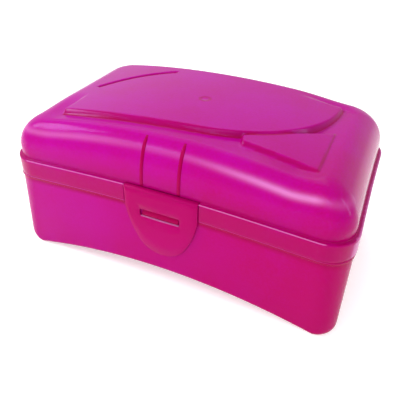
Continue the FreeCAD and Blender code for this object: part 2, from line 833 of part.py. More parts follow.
os.makedirs("parts", exist_ok=True)
for part in parts:
    solids = part.Shape.Solids
    part.Shape.exportStep(f"parts/{part.Label}.step")
    frame_box = part.Shape.BoundBox
    print(
        f"{part.Label}: {len(solids)} solid, {part.Shape.Volume / 1000:.1f} cm3, "
        f"x {frame_box.XMin:.1f}..{frame_box.XMax:.1f}, y {frame_box.YMin:.1f}.."
        f"{frame_box.YMax:.1f}, z {frame_box.ZMin:.1f}..{frame_box.ZMax:.1f}"
    )
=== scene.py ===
"""Arched sewing box of cloudy magenta plastic: tub, domed lid, flap latch and two trays.

The shells are lofted from rings that follow the box's plan. Shapes are drawn in millimetres
about the middle of the shell (x to the right, y to the back, z up) and moved into the frame
when a mesh is made.
"""
import json
import math

import bmesh
import bpy
import numpy as np
from mathutils import Matrix, Vector


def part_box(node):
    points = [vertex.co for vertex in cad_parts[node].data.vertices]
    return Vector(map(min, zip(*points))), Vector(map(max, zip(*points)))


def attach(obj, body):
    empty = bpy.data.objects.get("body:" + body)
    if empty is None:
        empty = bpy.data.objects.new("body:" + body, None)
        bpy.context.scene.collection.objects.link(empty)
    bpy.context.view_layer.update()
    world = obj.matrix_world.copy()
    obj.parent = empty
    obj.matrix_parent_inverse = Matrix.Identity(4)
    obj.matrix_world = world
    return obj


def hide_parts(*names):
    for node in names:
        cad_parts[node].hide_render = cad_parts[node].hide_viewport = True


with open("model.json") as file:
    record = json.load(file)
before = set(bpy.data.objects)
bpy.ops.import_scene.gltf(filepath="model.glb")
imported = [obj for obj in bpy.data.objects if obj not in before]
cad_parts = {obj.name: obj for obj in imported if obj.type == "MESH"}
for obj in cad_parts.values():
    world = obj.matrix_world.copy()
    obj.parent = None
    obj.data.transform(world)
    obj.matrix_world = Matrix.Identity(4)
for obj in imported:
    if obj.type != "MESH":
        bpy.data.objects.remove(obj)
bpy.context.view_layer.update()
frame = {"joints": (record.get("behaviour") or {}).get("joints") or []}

MM = 0.001


def box_mm(node):
    """Lowest and highest corner of a CAD node, in millimetres."""
    low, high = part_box(node)
    return np.array(low) / MM, np.array(high) / MM


LID_LOW, LID_HIGH = box_mm("lid")
LATCH_LOW, LATCH_HIGH = box_mm("latch")
TRAY_LOW, TRAY_HIGH = box_mm("right_tray")

# ---------------------------------------------------------------- driving dimensions

HALF_LENGTH = LID_HIGH[0]
HALF_WIDTH = 61.5
SHELL_Y = LID_LOW[1] + HALF_WIDTH
TOP_Z = LID_HIGH[2]

SEAM_Z = 55.0
SEAM_RISE = 2.0
SKIRT_HEIGHT = 11.0
SKIRT_WALL = 1.6
SKIRT_CORNER = 17.5
WAIST = 2.0
END_WAIST = 0.3

TUB_INSET = 1.0
TUB_LEAN = 1.4
TUB_WALL = 1.9
TUB_CORNER_TOP = 15.5
TUB_CORNER_FOOT = 8.0
FOOT_ROUND_END = 7.4
FOOT_ROUND_SIDE = 2.1
FOOT_INNER = 92.4
FOOT_HEIGHTS = (0.04, 0.16, 0.36, 0.65, 1.05, 1.5, 2.1, 2.9, 3.9, 5.1, 6.5, 8.0)
WALL_HEIGHTS = (11, 15, 20, 26, 32, 38, 44, 49, 52.4)
INNER_HEIGHTS = (44, 36, 28, 21, 15, 11, 8.5, 7, 5.6, 4.6, 3.8, 3.1, 2.6, 2.25, 2.0)
INNER_SET_IN = 0.4
FLOOR_ROUND = 1.6
BELLY_RISE = 11.7
RIM_INSET = 2.2
RIM_WALL = 1.4
RIM_HEIGHT = 6.5
BEAD_INSET = 0.3
BEAD_HEIGHT = 2.0
BEAD_PROFILE = ((0.0, 0.0), (0.1, 0.6), (0.4, 1.0), (1.2, 1.0), (1.6, 1.0), (1.9, 0.6), (2.0, 0.2))

DOME_INSET = 2.3
DOME_LEAN = 1.0
DOME_WALL = 1.8
CROWN_RISE = 10.9
END_SHOULDER = 18.5
FRONT_SHOULDER = 20.0
FRONT_REACH = 12.0
REAR_SHOULDER = 14.7
DOME_CORNER_TOP = 8.8

FLAP_HALF = 22.7
FLAP_GAP = 0.3
FLAP_WALL = 1.4

SIDE_STEPS = 220
CORNER_STEPS = 14
END_STEPS = 116
EDGE_STEPS = END_STEPS + 2 * CORNER_STEPS
RING = 2 * (SIDE_STEPS + EDGE_STEPS)


def smooth_step(value):
    """0 below 0, 1 above 1, and an even curve between."""
    value = np.clip(value, 0.0, 1.0)
    return value * value * (3 - 2 * value)


# ---------------------------------------------------------------- rings and shells

def plan_ring(half_x, front, rear, corner, waist):
    """Round-cornered plan with drawn-in sides, counter-clockwise from the front left."""
    middle = (front + rear) / 2
    half_y = (rear - front) / 2
    side_x = half_x - corner
    side_y = half_y - corner
    along = np.linspace(-1, 1, SIDE_STEPS, endpoint=False)
    up = np.linspace(-1, 1, END_STEPS, endpoint=False)
    turn = np.linspace(0, math.pi / 2, CORNER_STEPS, endpoint=False)
    side_draw = waist * (1 - along**2) ** 1.5
    end_draw = END_WAIST * (1 - up**2) ** 1.5
    xs = [
        along * side_x,
        side_x + corner * np.sin(turn),
        half_x - end_draw,
        side_x + corner * np.cos(turn),
        -along * side_x,
        -side_x - corner * np.sin(turn),
        -half_x + end_draw,
        -side_x - corner * np.cos(turn),
    ]
    ys = [
        -half_y + side_draw,
        -side_y - corner * np.cos(turn),
        up * side_y,
        side_y + corner * np.sin(turn),
        half_y - side_draw,
        side_y + corner * np.cos(turn),
        -up * side_y,
        -side_y - corner * np.sin(turn),
    ]
    return np.concatenate(xs), np.concatenate(ys) + middle


class Shell:
    """Collects rings, the bands between them and the caps that close them."""

    def __init__(self, ring_size=RING, side_steps=SIDE_STEPS):
        self.points = []
        self.faces = []
        self.count = 0
        self.ring_size = ring_size
        self.side_steps = side_steps
        self.last = None

    def add(self, points):
        start = self.count
        self.points.append(points)
        self.count += len(points)
        return start

    def ring(self, xs, ys, zs, skip=None):
        """Add a ring and join it to the ring before it, leaving out the skipped columns."""
        zs = np.broadcast_to(zs, xs.shape)
        start = self.add(np.column_stack([xs, ys, zs]))
        if self.last is not None:
            now = np.arange(self.ring_size)
            after = (now + 1) % self.ring_size
            quads = np.column_stack(
                [self.last + now, self.last + after, start + after, start + now]
            )
            if skip is not None:
                quads = quads[~skip]
            self.faces.extend(quads.tolist())
        self.last = start
        return start

    def cap(self, height=None):
        """Close the last ring with a grid whose height is a function of place."""
        side = self.side_steps
        edge = self.ring_size // 2 - side
        ring = np.concatenate(self.points)[self.last:self.last + self.ring_size]
        low = ring[:side + 1]
        right = ring[side:side + edge + 1]
        high = ring[side + edge:2 * side + edge + 1][::-1]
        left = np.vstack([ring[2 * side + edge:], ring[:1]])[::-1]
        across = np.linspace(0, 1, side + 1)[1:-1, None, None]
        up = np.linspace(0, 1, edge + 1)[None, 1:-1, None]
        grid = (1 - up) * low[1:-1, None] + up * high[1:-1, None]
        grid = grid + (1 - across) * left[None, 1:-1] + across * right[None, 1:-1]
        grid = grid - (1 - across) * ((1 - up) * ring[0] + up * ring[2 * side + edge])
        grid = grid - across * ((1 - up) * ring[side] + up * ring[side + edge])
        if height is not None:
            grid[..., 2] = height(grid[..., 0], grid[..., 1])
        start = self.add(grid.reshape(-1, 3))
        index = np.zeros((side + 1, edge + 1), int)
        index[1:-1, 1:-1] = start + np.arange((side - 1) * (edge - 1)).reshape(side - 1, edge - 1)
        index[:, 0] = self.last + np.arange(side + 1)
        index[-1, :] = self.last + side + np.arange(edge + 1)
        index[:, -1] = self.last + side + edge + np.arange(side + 1)[::-1]
        index[0, :] = self.last + (self.ring_size - np.arange(edge + 1)) % self.ring_size
        quads = np.stack(
            [index[:-1, :-1], index[1:, :-1], index[1:, 1:], index[:-1, 1:]], axis=-1
        )
        self.faces.extend(quads.reshape(-1, 4).tolist())

    def build(self, name):
        return make_object(name, np.concatenate(self.points), self.faces)


def make_object(name, points, faces):
    """Mesh object from points in millimetres about the middle of the shell."""
    placed = (np.asarray(points, float) + (0, SHELL_Y, 0)) * MM
    mesh = bpy.data.meshes.new(name)
    mesh.from_pydata(placed.tolist(), [], [list(face) for face in faces])
    work = bmesh.new()
    work.from_mesh(mesh)
    loose = [vert for vert in work.verts if not vert.link_faces]
    bmesh.ops.delete(work, geom=loose, context="VERTS")
    bmesh.ops.remove_doubles(work, verts=work.verts, dist=1e-7)
    bmesh.ops.recalc_face_normals(work, faces=work.faces)
    for face in work.faces:
        face.smooth = True
    work.to_mesh(mesh)
    work.free()
    piece = bpy.data.objects.new(name, mesh)
    bpy.context.scene.collection.objects.link(piece)
    return piece


def extrude_outline(name, outline, start, end, axis, bevel, bevel_steps=3):
    """Solid with rounded edges from a flat outline pushed along one axis.

    The outline's pairs fill the two axes that are left, in the order x, y, z.
    """
    count = len(outline)
    others = [i for i in range(3) if i != axis]
    points = np.zeros((2 * count, 3))
    for half, place in enumerate((start, end)):
        points[half * count:(half + 1) * count, others] = outline
        points[half * count:(half + 1) * count, axis] = place
    faces = [list(range(count)), list(range(2 * count - 1, count - 1, -1))]
    for i in range(count):
        after = (i + 1) % count
        faces.append([i, count + i, count + after, after])
    piece = make_object(name, points, faces)
    if bevel > 0:
        rounding = piece.modifiers.new("rounded edges", "BEVEL")
        rounding.width = bevel * MM
        rounding.segments = bevel_steps
        rounding.limit_method = "ANGLE"
        rounding.angle_limit = math.radians(35)
        apply_modifiers(piece)
    sharpen(piece)
    return piece


def apply_modifiers(piece):
    graph = bpy.context.evaluated_depsgraph_get()
    mesh = bpy.data.meshes.new_from_object(piece.evaluated_get(graph))
    piece.modifiers.clear()
    piece.data = mesh


def sharpen(piece, degrees=40):
    """Smooth shading with hard edges only where faces meet at more than the angle."""
    work = bmesh.new()
    work.from_mesh(piece.data)
    for edge in work.edges:
        edge.smooth = len(edge.link_faces) != 2 or edge.calc_face_angle(0) < math.radians(degrees)
    work.to_mesh(piece.data)
    work.free()


def join(name, pieces):
    """One object from several, with the first one's place and the given name."""
    work = bmesh.new()
    for piece in pieces:
        work.from_mesh(piece.data)
        bpy.data.objects.remove(piece)
    mesh = bpy.data.meshes.new(name)
    work.to_mesh(mesh)
    work.free()
    joined = bpy.data.objects.new(name, mesh)
    bpy.context.scene.collection.objects.link(joined)
    return joined


def finish_piece(piece, body, slot, material, *nodes):
    piece.data.materials.clear()
    piece.data.materials.append(material)
    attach(piece, body)
    if nodes:
        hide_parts(*nodes)


def arc_points(centre, radius, start, end, steps):
    """Points on an arc in a plane; angles in degrees."""
    angles = np.radians(np.linspace(start, end, steps))
    return [(centre[0] + radius * math.cos(a), centre[1] + radius * math.sin(a)) for a in angles]


# ---------------------------------------------------------------- shapes of the shells

def seam_arch(xs):
    """Rise of the seam between tub and lid over its ends."""
    return SEAM_RISE * (1 - (xs / HALF_LENGTH) ** 2)


def belly_arch(xs):
    """Rise of the tub's arched bottom between its two feet."""
    return BELLY_RISE * (1 - np.clip(np.abs(xs) / FOOT_INNER, 0, 1) ** 2)


def crown_arch(xs):
    return CROWN_RISE * (1 - (xs / HALF_LENGTH) ** 2)


def rounding(rise, radius):
    """How far a quarter round draws in at a rise from its flat side."""
    if rise >= radius:
        return 0.0
    return radius - math.sqrt(radius**2 - (radius - rise) ** 2)


def tub_outline(height, inset, floor=0.0):
    """Ring of the tub's wall at a height over its floor's ends."""
    share = min(height / SEAM_Z, 1.0)
    rise = height - floor
    end_round = FOOT_ROUND_END - floor
    side_round = max(FOOT_ROUND_SIDE - floor, FLOOR_ROUND)
    half_x = HALF_LENGTH - TUB_INSET - inset - rounding(rise, end_round)
    lean = TUB_LEAN * (1 - share)
    half_y = HALF_WIDTH - TUB_INSET - inset - lean - rounding(rise, side_round)
    corner = TUB_CORNER_FOOT + (TUB_CORNER_TOP - TUB_CORNER_FOOT) * share - inset
    xs, ys = plan_ring(half_x, -half_y, half_y, corner, WAIST * share)
    return xs, ys, height + belly_arch(xs) * (1 - share) + seam_arch(xs) * share


def build_tub():
    """Outer wall, stop bead, rim, inner wall and floor in one closed shell."""
    shell = Shell()
    shell.ring(*tub_outline(0.0, 0.0))
    shell.cap(lambda xs, ys: belly_arch(xs))
    for height in FOOT_HEIGHTS + WALL_HEIGHTS:
        shell.ring(*tub_outline(height, 0.0))
    bead_low = SEAM_Z - BEAD_HEIGHT
    bead_out = BEAD_INSET - TUB_INSET
    for rise, share in BEAD_PROFILE:
        xs, ys, zs = tub_outline(bead_low + rise, bead_out * share)
        wall_xs, wall_ys, _ = tub_outline(bead_low + rise, 0.0)
        at_latch = (np.abs(xs) < FLAP_HALF + FLAP_GAP) & (ys < 0)
        shell.ring(np.where(at_latch, wall_xs, xs), np.where(at_latch, wall_ys, ys), zs)
    rim_out = RIM_INSET - TUB_INSET
    rim_in = rim_out + RIM_WALL
    rim_top = SEAM_Z + RIM_HEIGHT
    for height, inset in (
        (SEAM_Z + 0.05, rim_out - 0.3), (SEAM_Z + 0.35, rim_out), (rim_top - 0.5, rim_out),
        (rim_top - 0.1, rim_out + 0.15), (rim_top, rim_out + 0.5), (rim_top, rim_in - 0.5),
        (rim_top - 0.1, rim_in - 0.15), (rim_top - 0.5, rim_in), (SEAM_Z, rim_in),
    ):
        shell.ring(*tub_outline(height, inset))
    inner = TUB_WALL + INNER_SET_IN
    shell.ring(*tub_outline(SEAM_Z - 4, inner))
    for height in INNER_HEIGHTS:
        shell.ring(*tub_outline(height, inner, TUB_WALL))
    shell.ring(*tub_outline(TUB_WALL, inner, TUB_WALL))
    shell.cap(lambda xs, ys: TUB_WALL + belly_arch(xs) * (1 - TUB_WALL / SEAM_Z))
    return shell.build("tub_shell")


# ---------------------------------------------------------------- relief of the lid's top

PLATE_LEFT = (-73.5, -38.7)
PLATE_BEND = (12.0, -33.8)
PLATE_TIP = (75.5, 37.5)
PLATE_FRONT_RADIUS = 700.0
PLATE_SIDE_RADIUS = 72.5
PLATE_STEP = 3.4
PLATE_STEP_MORE = 0.5
PLATE_WALL = 2.4
PLATE_WALL_LESS = 0.8
PLATE_REAR_END = 36.5
PLATE_REAR_FADE = 3.5
PAD_LEVEL = 1.2
PAD_CORNERS = ((35.0, -29.0), (36.5, -34.3), (77.6, -38.8), (77.6, 3.0))
PAD_WALLS = (1.2, 2.6, 1.2, 1.2)
GROOVE_ENDS = ((-77.6, -1.4), (-36.6, 37.8))
GROOVE_RADIUS = 88.0
GROOVE_DEPTH = 1.5
GROOVE_WIDTH = 4.6
GROOVE_SLOPE = 3.6
GROOVE_END_SHARE = 0.02
GATE_RADIUS = 3.6
GATE_DEPTH = 0.35


def arc_between(start, end, radius, steps):
    """Points on the arc from start to end that swells to the right of the way."""
    start = np.array(start, float)
    end = np.array(end, float)
    chord = end - start
    half = np.linalg.norm(chord) / 2
    left = np.array([-chord[1], chord[0]]) / (2 * half)
    centre = (start + end) / 2 + left * math.sqrt(radius**2 - half**2)
    first = math.atan2(*(start - centre)[::-1])
    sweep = 2 * math.asin(half / radius)
    angles = first + np.linspace(0, sweep, steps)
    return centre + radius * np.column_stack([np.cos(angles), np.sin(angles)])


def beyond_curve(xs, ys, curve):
    """Distance of each place to the right of a curve (negative to its left), and how far
    along the curve, from 0 to 1, its nearest point lies."""
    places = np.stack([xs, ys], axis=-1)
    best = np.full(xs.shape, 1e9)
    signed = np.zeros(xs.shape)
    along = np.zeros(xs.shape)
    for i in range(len(curve) - 1):
        step = curve[i + 1] - curve[i]
        length = np.linalg.norm(step)
        offset = places - curve[i]
        share = np.clip(offset @ step / length**2, 0, 1)
        gap = places - (curve[i] + share[..., None] * step)
        distance = np.linalg.norm(gap, axis=-1)
        side = np.sign(offset[..., 1] * step[0] - offset[..., 0] * step[1])
        nearer = distance < best
        best = np.where(nearer, distance, best)
        signed = np.where(nearer, -side * distance, signed)
        along = np.where(nearer, (i + share) / (len(curve) - 1), along)
    return signed, along


PLATE_EDGE = np.vstack([
    arc_between(PLATE_LEFT, PLATE_BEND, PLATE_FRONT_RADIUS, 12)[:-1],
    arc_between(PLATE_BEND, PLATE_TIP, PLATE_SIDE_RADIUS, 40),
])
GROOVE_EDGE = arc_between(GROOVE_ENDS[1], GROOVE_ENDS[0], GROOVE_RADIUS, 24)


def pad_rise(xs, ys):
    """1 on the three-cornered pad, 0 round it; its front wall slopes, its sides are steep."""
    total = np.zeros(xs.shape)
    for i, width in enumerate(PAD_WALLS):
        start = np.array(PAD_CORNERS[i])
        end = np.array(PAD_CORNERS[(i + 1) % len(PAD_CORNERS)])
        step = (end - start) / np.linalg.norm(end - start)
        outside = (xs - start[0]) * step[1] - (ys - start[1]) * step[0]
        total = total + np.exp(np.clip(outside / width, -8, 8) * 3)
    return 1 - smooth_step(np.log(total) / 3)


def lid_drop(xs, ys):
    """How far the lid's top lies under the smooth crown, and how much painted shade its relief
    edges, groove and gate ring take.
    """
    distance, _ = beyond_curve(xs, ys, PLATE_EDGE)
    depth = PLATE_STEP + PLATE_STEP_MORE * smooth_step((xs - 10) / 35)
    width = PLATE_WALL - PLATE_WALL_LESS * smooth_step(xs / 40)
    steep = smooth_step(distance / width)
    gentle_front = smooth_step((-ys - 12) / 34) * (xs < 0)
    gentle_side = smooth_step((xs - 45) / 40) * smooth_step((60 - ys) / 30) * (xs > 0)
    gentle = gentle_front + gentle_side
    sharp = smooth_step((xs - PLATE_LEFT[0] + 2) / 2)
    sharp = sharp * (1 - smooth_step((ys - PLATE_REAR_END) / PLATE_REAR_FADE))
    ends = smooth_step((92 - xs) / 26) * smooth_step((xs + 104) / 30)
    drop = depth * ends * (steep * sharp + gentle * (1 - sharp))
    pad = pad_rise(xs, ys)
    drop = drop * (1 - pad) + np.minimum(drop, PAD_LEVEL) * pad
    # Painted shade: dark lines along the plate's wall and foot and the pad's walls, the whole groove
    # and a ring round the gate mark.
    foot_line = 0.5 * np.exp(-(((distance - width) / 0.6) ** 2))
    wall = smooth_step((distance + 0.5) / 0.6) * smooth_step((width + 0.7 - distance) / 0.6)
    line = foot_line + (0.6 - 0.3 * smooth_step((xs - 20) / 40)) * wall
    pad_wall = 0.55 * smooth_step((pad - 0.02) / 0.06) * smooth_step((0.99 - pad) / 0.08)
    pad_line = pad_wall * smooth_step(distance)
    beyond, groove_along = beyond_curve(xs, ys, GROOVE_EDGE)
    inside = smooth_step(-beyond) * smooth_step((GROOVE_WIDTH + beyond) / GROOVE_SLOPE)
    length = smooth_step(groove_along / GROOVE_END_SHARE)
    length = length * smooth_step((1 - groove_along) / GROOVE_END_SHARE)
    groove = inside * length
    gate = np.hypot(xs, ys) / GATE_RADIUS
    dish = GATE_DEPTH * (1 - smooth_step(gate))
    edges = line * sharp + pad_line + groove + 0.5 * (gate < 1.1) * (gate > 0.6)
    return drop + GROOVE_DEPTH * groove + dish, edges


# ---------------------------------------------------------------- lid

SKIRT_TOP_Z = SEAM_Z + SKIRT_HEIGHT
DOME_DEPTH = TOP_Z - CROWN_RISE - SKIRT_TOP_Z


def dome_outline(depth, inset):
    """Ring of the dome's wall and shoulders at a depth under the ends of the crown."""
    share = 1 - depth / DOME_DEPTH
    reach = inset + DOME_LEAN * share
    half_x = HALF_LENGTH - reach - rounding(depth, END_SHOULDER)
    drawn = rounding(depth, FRONT_SHOULDER) * FRONT_REACH / FRONT_SHOULDER
    front = -(HALF_WIDTH - reach - drawn)
    rear = HALF_WIDTH - reach - rounding(depth, REAR_SHOULDER)
    corner = (SKIRT_CORNER - inset) * (1 - share) + DOME_CORNER_TOP * share
    xs, ys = plan_ring(half_x, front, rear, corner, WAIST)
    zs = TOP_Z - CROWN_RISE - depth + seam_arch(xs) * (1 - share) + crown_arch(xs) * share
    fade = 1 - depth / FRONT_SHOULDER
    if fade > 0:
        zs = zs - lid_drop(xs, ys)[0] * fade
    return xs, ys, zs


def skirt_outline(height, inset):
    """Ring of the skirt at a height over the seam."""
    xs, ys = plan_ring(
        HALF_LENGTH - inset, inset - HALF_WIDTH, HALF_WIDTH - inset, SKIRT_CORNER - inset, WAIST
    )
    return xs, ys, SEAM_Z + height + seam_arch(xs)


def crown_height(xs, ys):
    return TOP_Z - CROWN_RISE + crown_arch(xs) - lid_drop(xs, ys)[0]


SHOULDER_ANGLES = np.radians(np.linspace(90, 0, 31))


def build_lid():
    """Skirt, ledge and dome, outside and inside, open at the latch's notch."""
    shell = Shell()
    half_notch = FLAP_HALF + FLAP_GAP
    xs, ys, zs = skirt_outline(0.0, 0.4)
    columns = np.arange(RING)
    notch = (columns < SIDE_STEPS) & (np.abs(xs + 0.5 * (xs[1] - xs[0])) < half_notch)
    outer = [
        (0.0, 0.4), (0.1, 0.1), (0.4, 0.0), (2.0, 0.0), (5.5, 0.0), (9.0, 0.0), (10.4, 0.0),
        (10.75, 0.08), (10.95, 0.3), (11.0, 0.6), (11.0, DOME_INSET - 0.5),
    ]
    starts = []
    for height, inset in outer:
        starts.append(shell.ring(*skirt_outline(height, inset), skip=notch))
    foot = shell.ring(*dome_outline(DOME_DEPTH - 0.12, DOME_INSET - 0.12), skip=notch)
    starts.append(foot)
    shell.ring(*dome_outline(DOME_DEPTH - 0.5, DOME_INSET))
    shell.ring(*dome_outline(DOME_DEPTH - 1.0, DOME_INSET))
    for angle in SHOULDER_ANGLES:
        shell.ring(*dome_outline(FRONT_SHOULDER * (1 - math.cos(angle)), DOME_INSET))
    shell.cap(crown_height)
    shell.last = starts[0]
    inner = [
        (0.0, SKIRT_WALL - 0.4), (0.1, SKIRT_WALL - 0.1), (0.4, SKIRT_WALL),
        (5.0, SKIRT_WALL), (SKIRT_HEIGHT - 2.2, SKIRT_WALL),
        (SKIRT_HEIGHT - SKIRT_WALL, SKIRT_WALL + 0.6),
        (SKIRT_HEIGHT - SKIRT_WALL, DOME_INSET + DOME_WALL - 0.3),
    ]
    inner_starts = [starts[0]]
    for height, inset in inner:
        inner_starts.append(shell.ring(*skirt_outline(height, inset), skip=notch))
    shell.ring(*dome_inside(DOME_DEPTH - 1.0))
    for angle in SHOULDER_ANGLES[::2]:
        shell.ring(*dome_inside(FRONT_SHOULDER * (1 - math.cos(angle))))
    shell.cap(lambda xs, ys: crown_height(xs, ys) - DOME_WALL)
    first, last = np.flatnonzero(notch)[[0, -1]]
    for column, turn in ((first, 1), (last + 1, -1)):
        loop = [start + column for start in starts]
        loop += [start + column for start in inner_starts[:0:-1]]
        shell.faces.append(loop[::turn])
    for column in range(first, last + 1):
        low = starts[-1] + column
        high = inner_starts[-1] + column
        shell.faces.append([low, low + 1, high + 1, high])
    return shell.build("lid_shell")


def dome_inside(depth):
    """Ring of the dome's inner face: the outer one moved in by the wall."""
    xs, ys, zs = dome_outline(depth, DOME_INSET)
    share = 1 - depth / DOME_DEPTH
    level = DOME_WALL * min(1.0, share * 1.2)
    half_x = np.max(np.abs(xs))
    half_y = np.max(np.abs(ys))
    keep_x = 1 - DOME_WALL / half_x
    keep_y = 1 - DOME_WALL / half_y
    return xs * keep_x, ys * keep_y, zs - level


def front_path(place, low_depth, high_depth, steps):
    """The dome's front at one place along the box, from low to high: (y, z) pairs."""
    path = []
    for depth in np.linspace(low_depth, high_depth, steps):
        xs, ys, zs = dome_outline(depth, DOME_INSET)
        front = slice(0, SIDE_STEPS)
        path.append((np.interp(place, xs[front], ys[front]), np.interp(place, xs[front], zs[front])))
    return np.array(path)


RIB_PLACES = (-12.7, 10.0)
RIB_HALF = 0.95
RIB_RELIEF = 0.45
RIB_STEPS = 36
RIB_SECTION = (
    (-1.25, -0.5), (-1.0, 0.45), (-0.6, 0.9), (0.0, 1.0), (0.6, 0.9), (1.0, 0.45), (1.25, -0.5),
)


def build_rib(place):
    """A narrow rounded rib that follows the dome's front."""
    path = front_path(place, DOME_DEPTH - 0.3, 1.0, RIB_STEPS)
    step = np.gradient(path, axis=0)
    step /= np.linalg.norm(step, axis=1)[:, None]
    outward = np.column_stack([-step[:, 1], step[:, 0]])
    points = []
    for i, (y, z) in enumerate(path):
        end = min(1.0, (len(path) - 1 - i) / 3 + 0.05)
        half = RIB_HALF * (0.6 + 0.4 * end)
        for across, up in RIB_SECTION:
            rise = RIB_RELIEF * up * (end if up > 0 else 1)
            side = outward[i] * rise
            points.append((place + half * across, y + side[0], z + side[1]))
    count = len(RIB_SECTION)
    faces = []
    for i in range(len(path) - 1):
        for j in range(count):
            after = (j + 1) % count
            low = i * count
            high = low + count
            faces.append([low + j, low + after, high + after, high + j])
    faces.append(list(range(count)))
    faces.append(list(range((len(path) - 1) * count, len(path) * count)))
    return make_object("rib", points, faces)


# ---------------------------------------------------------------- hinges

PIVOTS = {
    joint["name"]: np.array(joint["pos_m"]) / MM - (0, SHELL_Y, 0)
    for joint in frame["joints"] if "pos_m" in joint
}
HINGE = PIVOTS["lid_hinge"]
HINGE_PLACE = 58.0
KNUCKLE_RADIUS = 2.6
KNUCKLE_HALF = 4.7
HINGE_PIN = 1.5
LUG_GAP = 0.3
LUG_WALL = 3.5
LUG_ROUND = 0.4
HOOK_ROUND = 0.3
HOOK_BEND = 2.2
HOOK_CLEARANCE = 0.06
ARM_LOW = 3.6
ARM_HIGH = 6.6


def build_hinge_lugs():
    """Two pairs of lugs on the tub with a moulded pin between them."""
    y, z = HINGE[1], HINGE[2]
    root = HALF_WIDTH - WAIST - 1.6
    profile = arc_points((y, z), KNUCKLE_RADIUS, -90, 150, 17)
    profile += [(root, z + 0.6), (root, z - KNUCKLE_RADIUS - 1.4)]
    pieces = []
    inner = KNUCKLE_HALF + LUG_GAP
    for side in (-1, 1):
        middle = HINGE_PLACE * side
        for low in (middle - inner - LUG_WALL, middle + inner):
            pieces.append(extrude_outline("lug", profile, low, low + LUG_WALL, 0, LUG_ROUND))
        pin = arc_points((y, z), HINGE_PIN, 0, 350, 24)
        pieces.append(extrude_outline("pin", pin, middle - inner - 1, middle + inner + 1, 0, 0))
    return join("hinge_lugs", pieces)


def build_hinge_hooks():
    """The lid's hooks: a ring round each pin, open below, on an arm from the skirt."""
    y, z = HINGE[1], HINGE[2]
    bore = HINGE_PIN + HOOK_CLEARANCE
    root = HALF_WIDTH - WAIST + 0.4
    profile = arc_points((y, z), KNUCKLE_RADIUS, -62, 0, 8)
    bend = (y + KNUCKLE_RADIUS - HOOK_BEND, z + ARM_HIGH - HOOK_BEND)
    profile += arc_points(bend, HOOK_BEND, 0, 90, 6)
    profile += [(root, z + ARM_HIGH), (root, z + ARM_LOW), (y - HOOK_BEND, z + ARM_LOW)]
    profile += arc_points((y, z), KNUCKLE_RADIUS, 140, 242, 10)
    profile += arc_points((y, z), bore, 220, -40, 18)
    pieces = []
    for side in (-1, 1):
        low = HINGE_PLACE * side - KNUCKLE_HALF
        high = low + 2 * KNUCKLE_HALF
        pieces.append(extrude_outline("hook", profile, low, high, 0, HOOK_ROUND, 2))
    return join("hinge_hooks", pieces)


# ---------------------------------------------------------------- latch

LATCH = PIVOTS["latch_hinge"]
FLAP_FRONT = -(LATCH_LOW[1] - SHELL_Y)
FLAP_TOP = LATCH_HIGH[2]
FLAP_BOTTOM = LATCH_LOW[2]
FLAP_TAPER_Z = 55.0
FLAP_CHEEK = 60.0
FLAP_CHIN = (13.5, 31.0)
SLOT_HALF = 12.4
SLOT_SHIFT = -0.6
SLOT_LOW = 49.5
SLOT_HIGH = 54.5
BARREL_RADIUS = 1.15
LATCH_PIN = 0.75
SLOT_ROUND = 1.0
FLAP_STEPS = 160
PLATE_UNDER_TOP = 1.2
NUB_RAISE = 0.4
NUB_SHORTER = 0.9
EAR_LENGTH = 4


def flap_outline():
    """Tapered round-ended outline of the flap, counter-clockwise from the top left."""
    chin_x, chin_z = FLAP_CHIN
    drop = chin_z - FLAP_BOTTOM
    chin_radius = (chin_x**2 + drop**2) / (2 * drop)
    left = arc_between((-FLAP_HALF, FLAP_TAPER_Z), (-chin_x, chin_z), FLAP_CHEEK, 14)
    chin = arc_between((-chin_x, chin_z), (chin_x, chin_z), chin_radius, 22)
    right = arc_between((chin_x, chin_z), (FLAP_HALF, FLAP_TAPER_Z), FLAP_CHEEK, 14)
    return np.vstack([left, chin[1:-1], right])


def round_slot(inset, steps):
    """Rounded rectangle of the slot, counter-clockwise."""
    half = SLOT_HALF - inset - SLOT_ROUND
    low = SLOT_LOW + inset + SLOT_ROUND
    high = SLOT_HIGH - inset - SLOT_ROUND
    corners = ((-half, low, 180), (half, low, 270), (half, high, 0), (-half, high, 90))
    points = []
    for x, z, start in corners:
        points += arc_points((x + SLOT_SHIFT, z), SLOT_ROUND, start, start + 90, steps)
    return points


def resample(points, count, start):
    """Evenly spaced points on a closed outline, from the place nearest to start."""
    loop = np.vstack([points, points[:1]])
    lengths = np.concatenate([[0], np.cumsum(np.linalg.norm(np.diff(loop, axis=0), axis=1))])
    nearest = lengths[np.argmin(np.linalg.norm(np.asarray(points) - start, axis=1))]
    at = (nearest + np.linspace(0, lengths[-1], count, endpoint=False)) % lengths[-1]
    return np.column_stack([np.interp(at, lengths, loop[:, i]) for i in range(2)])


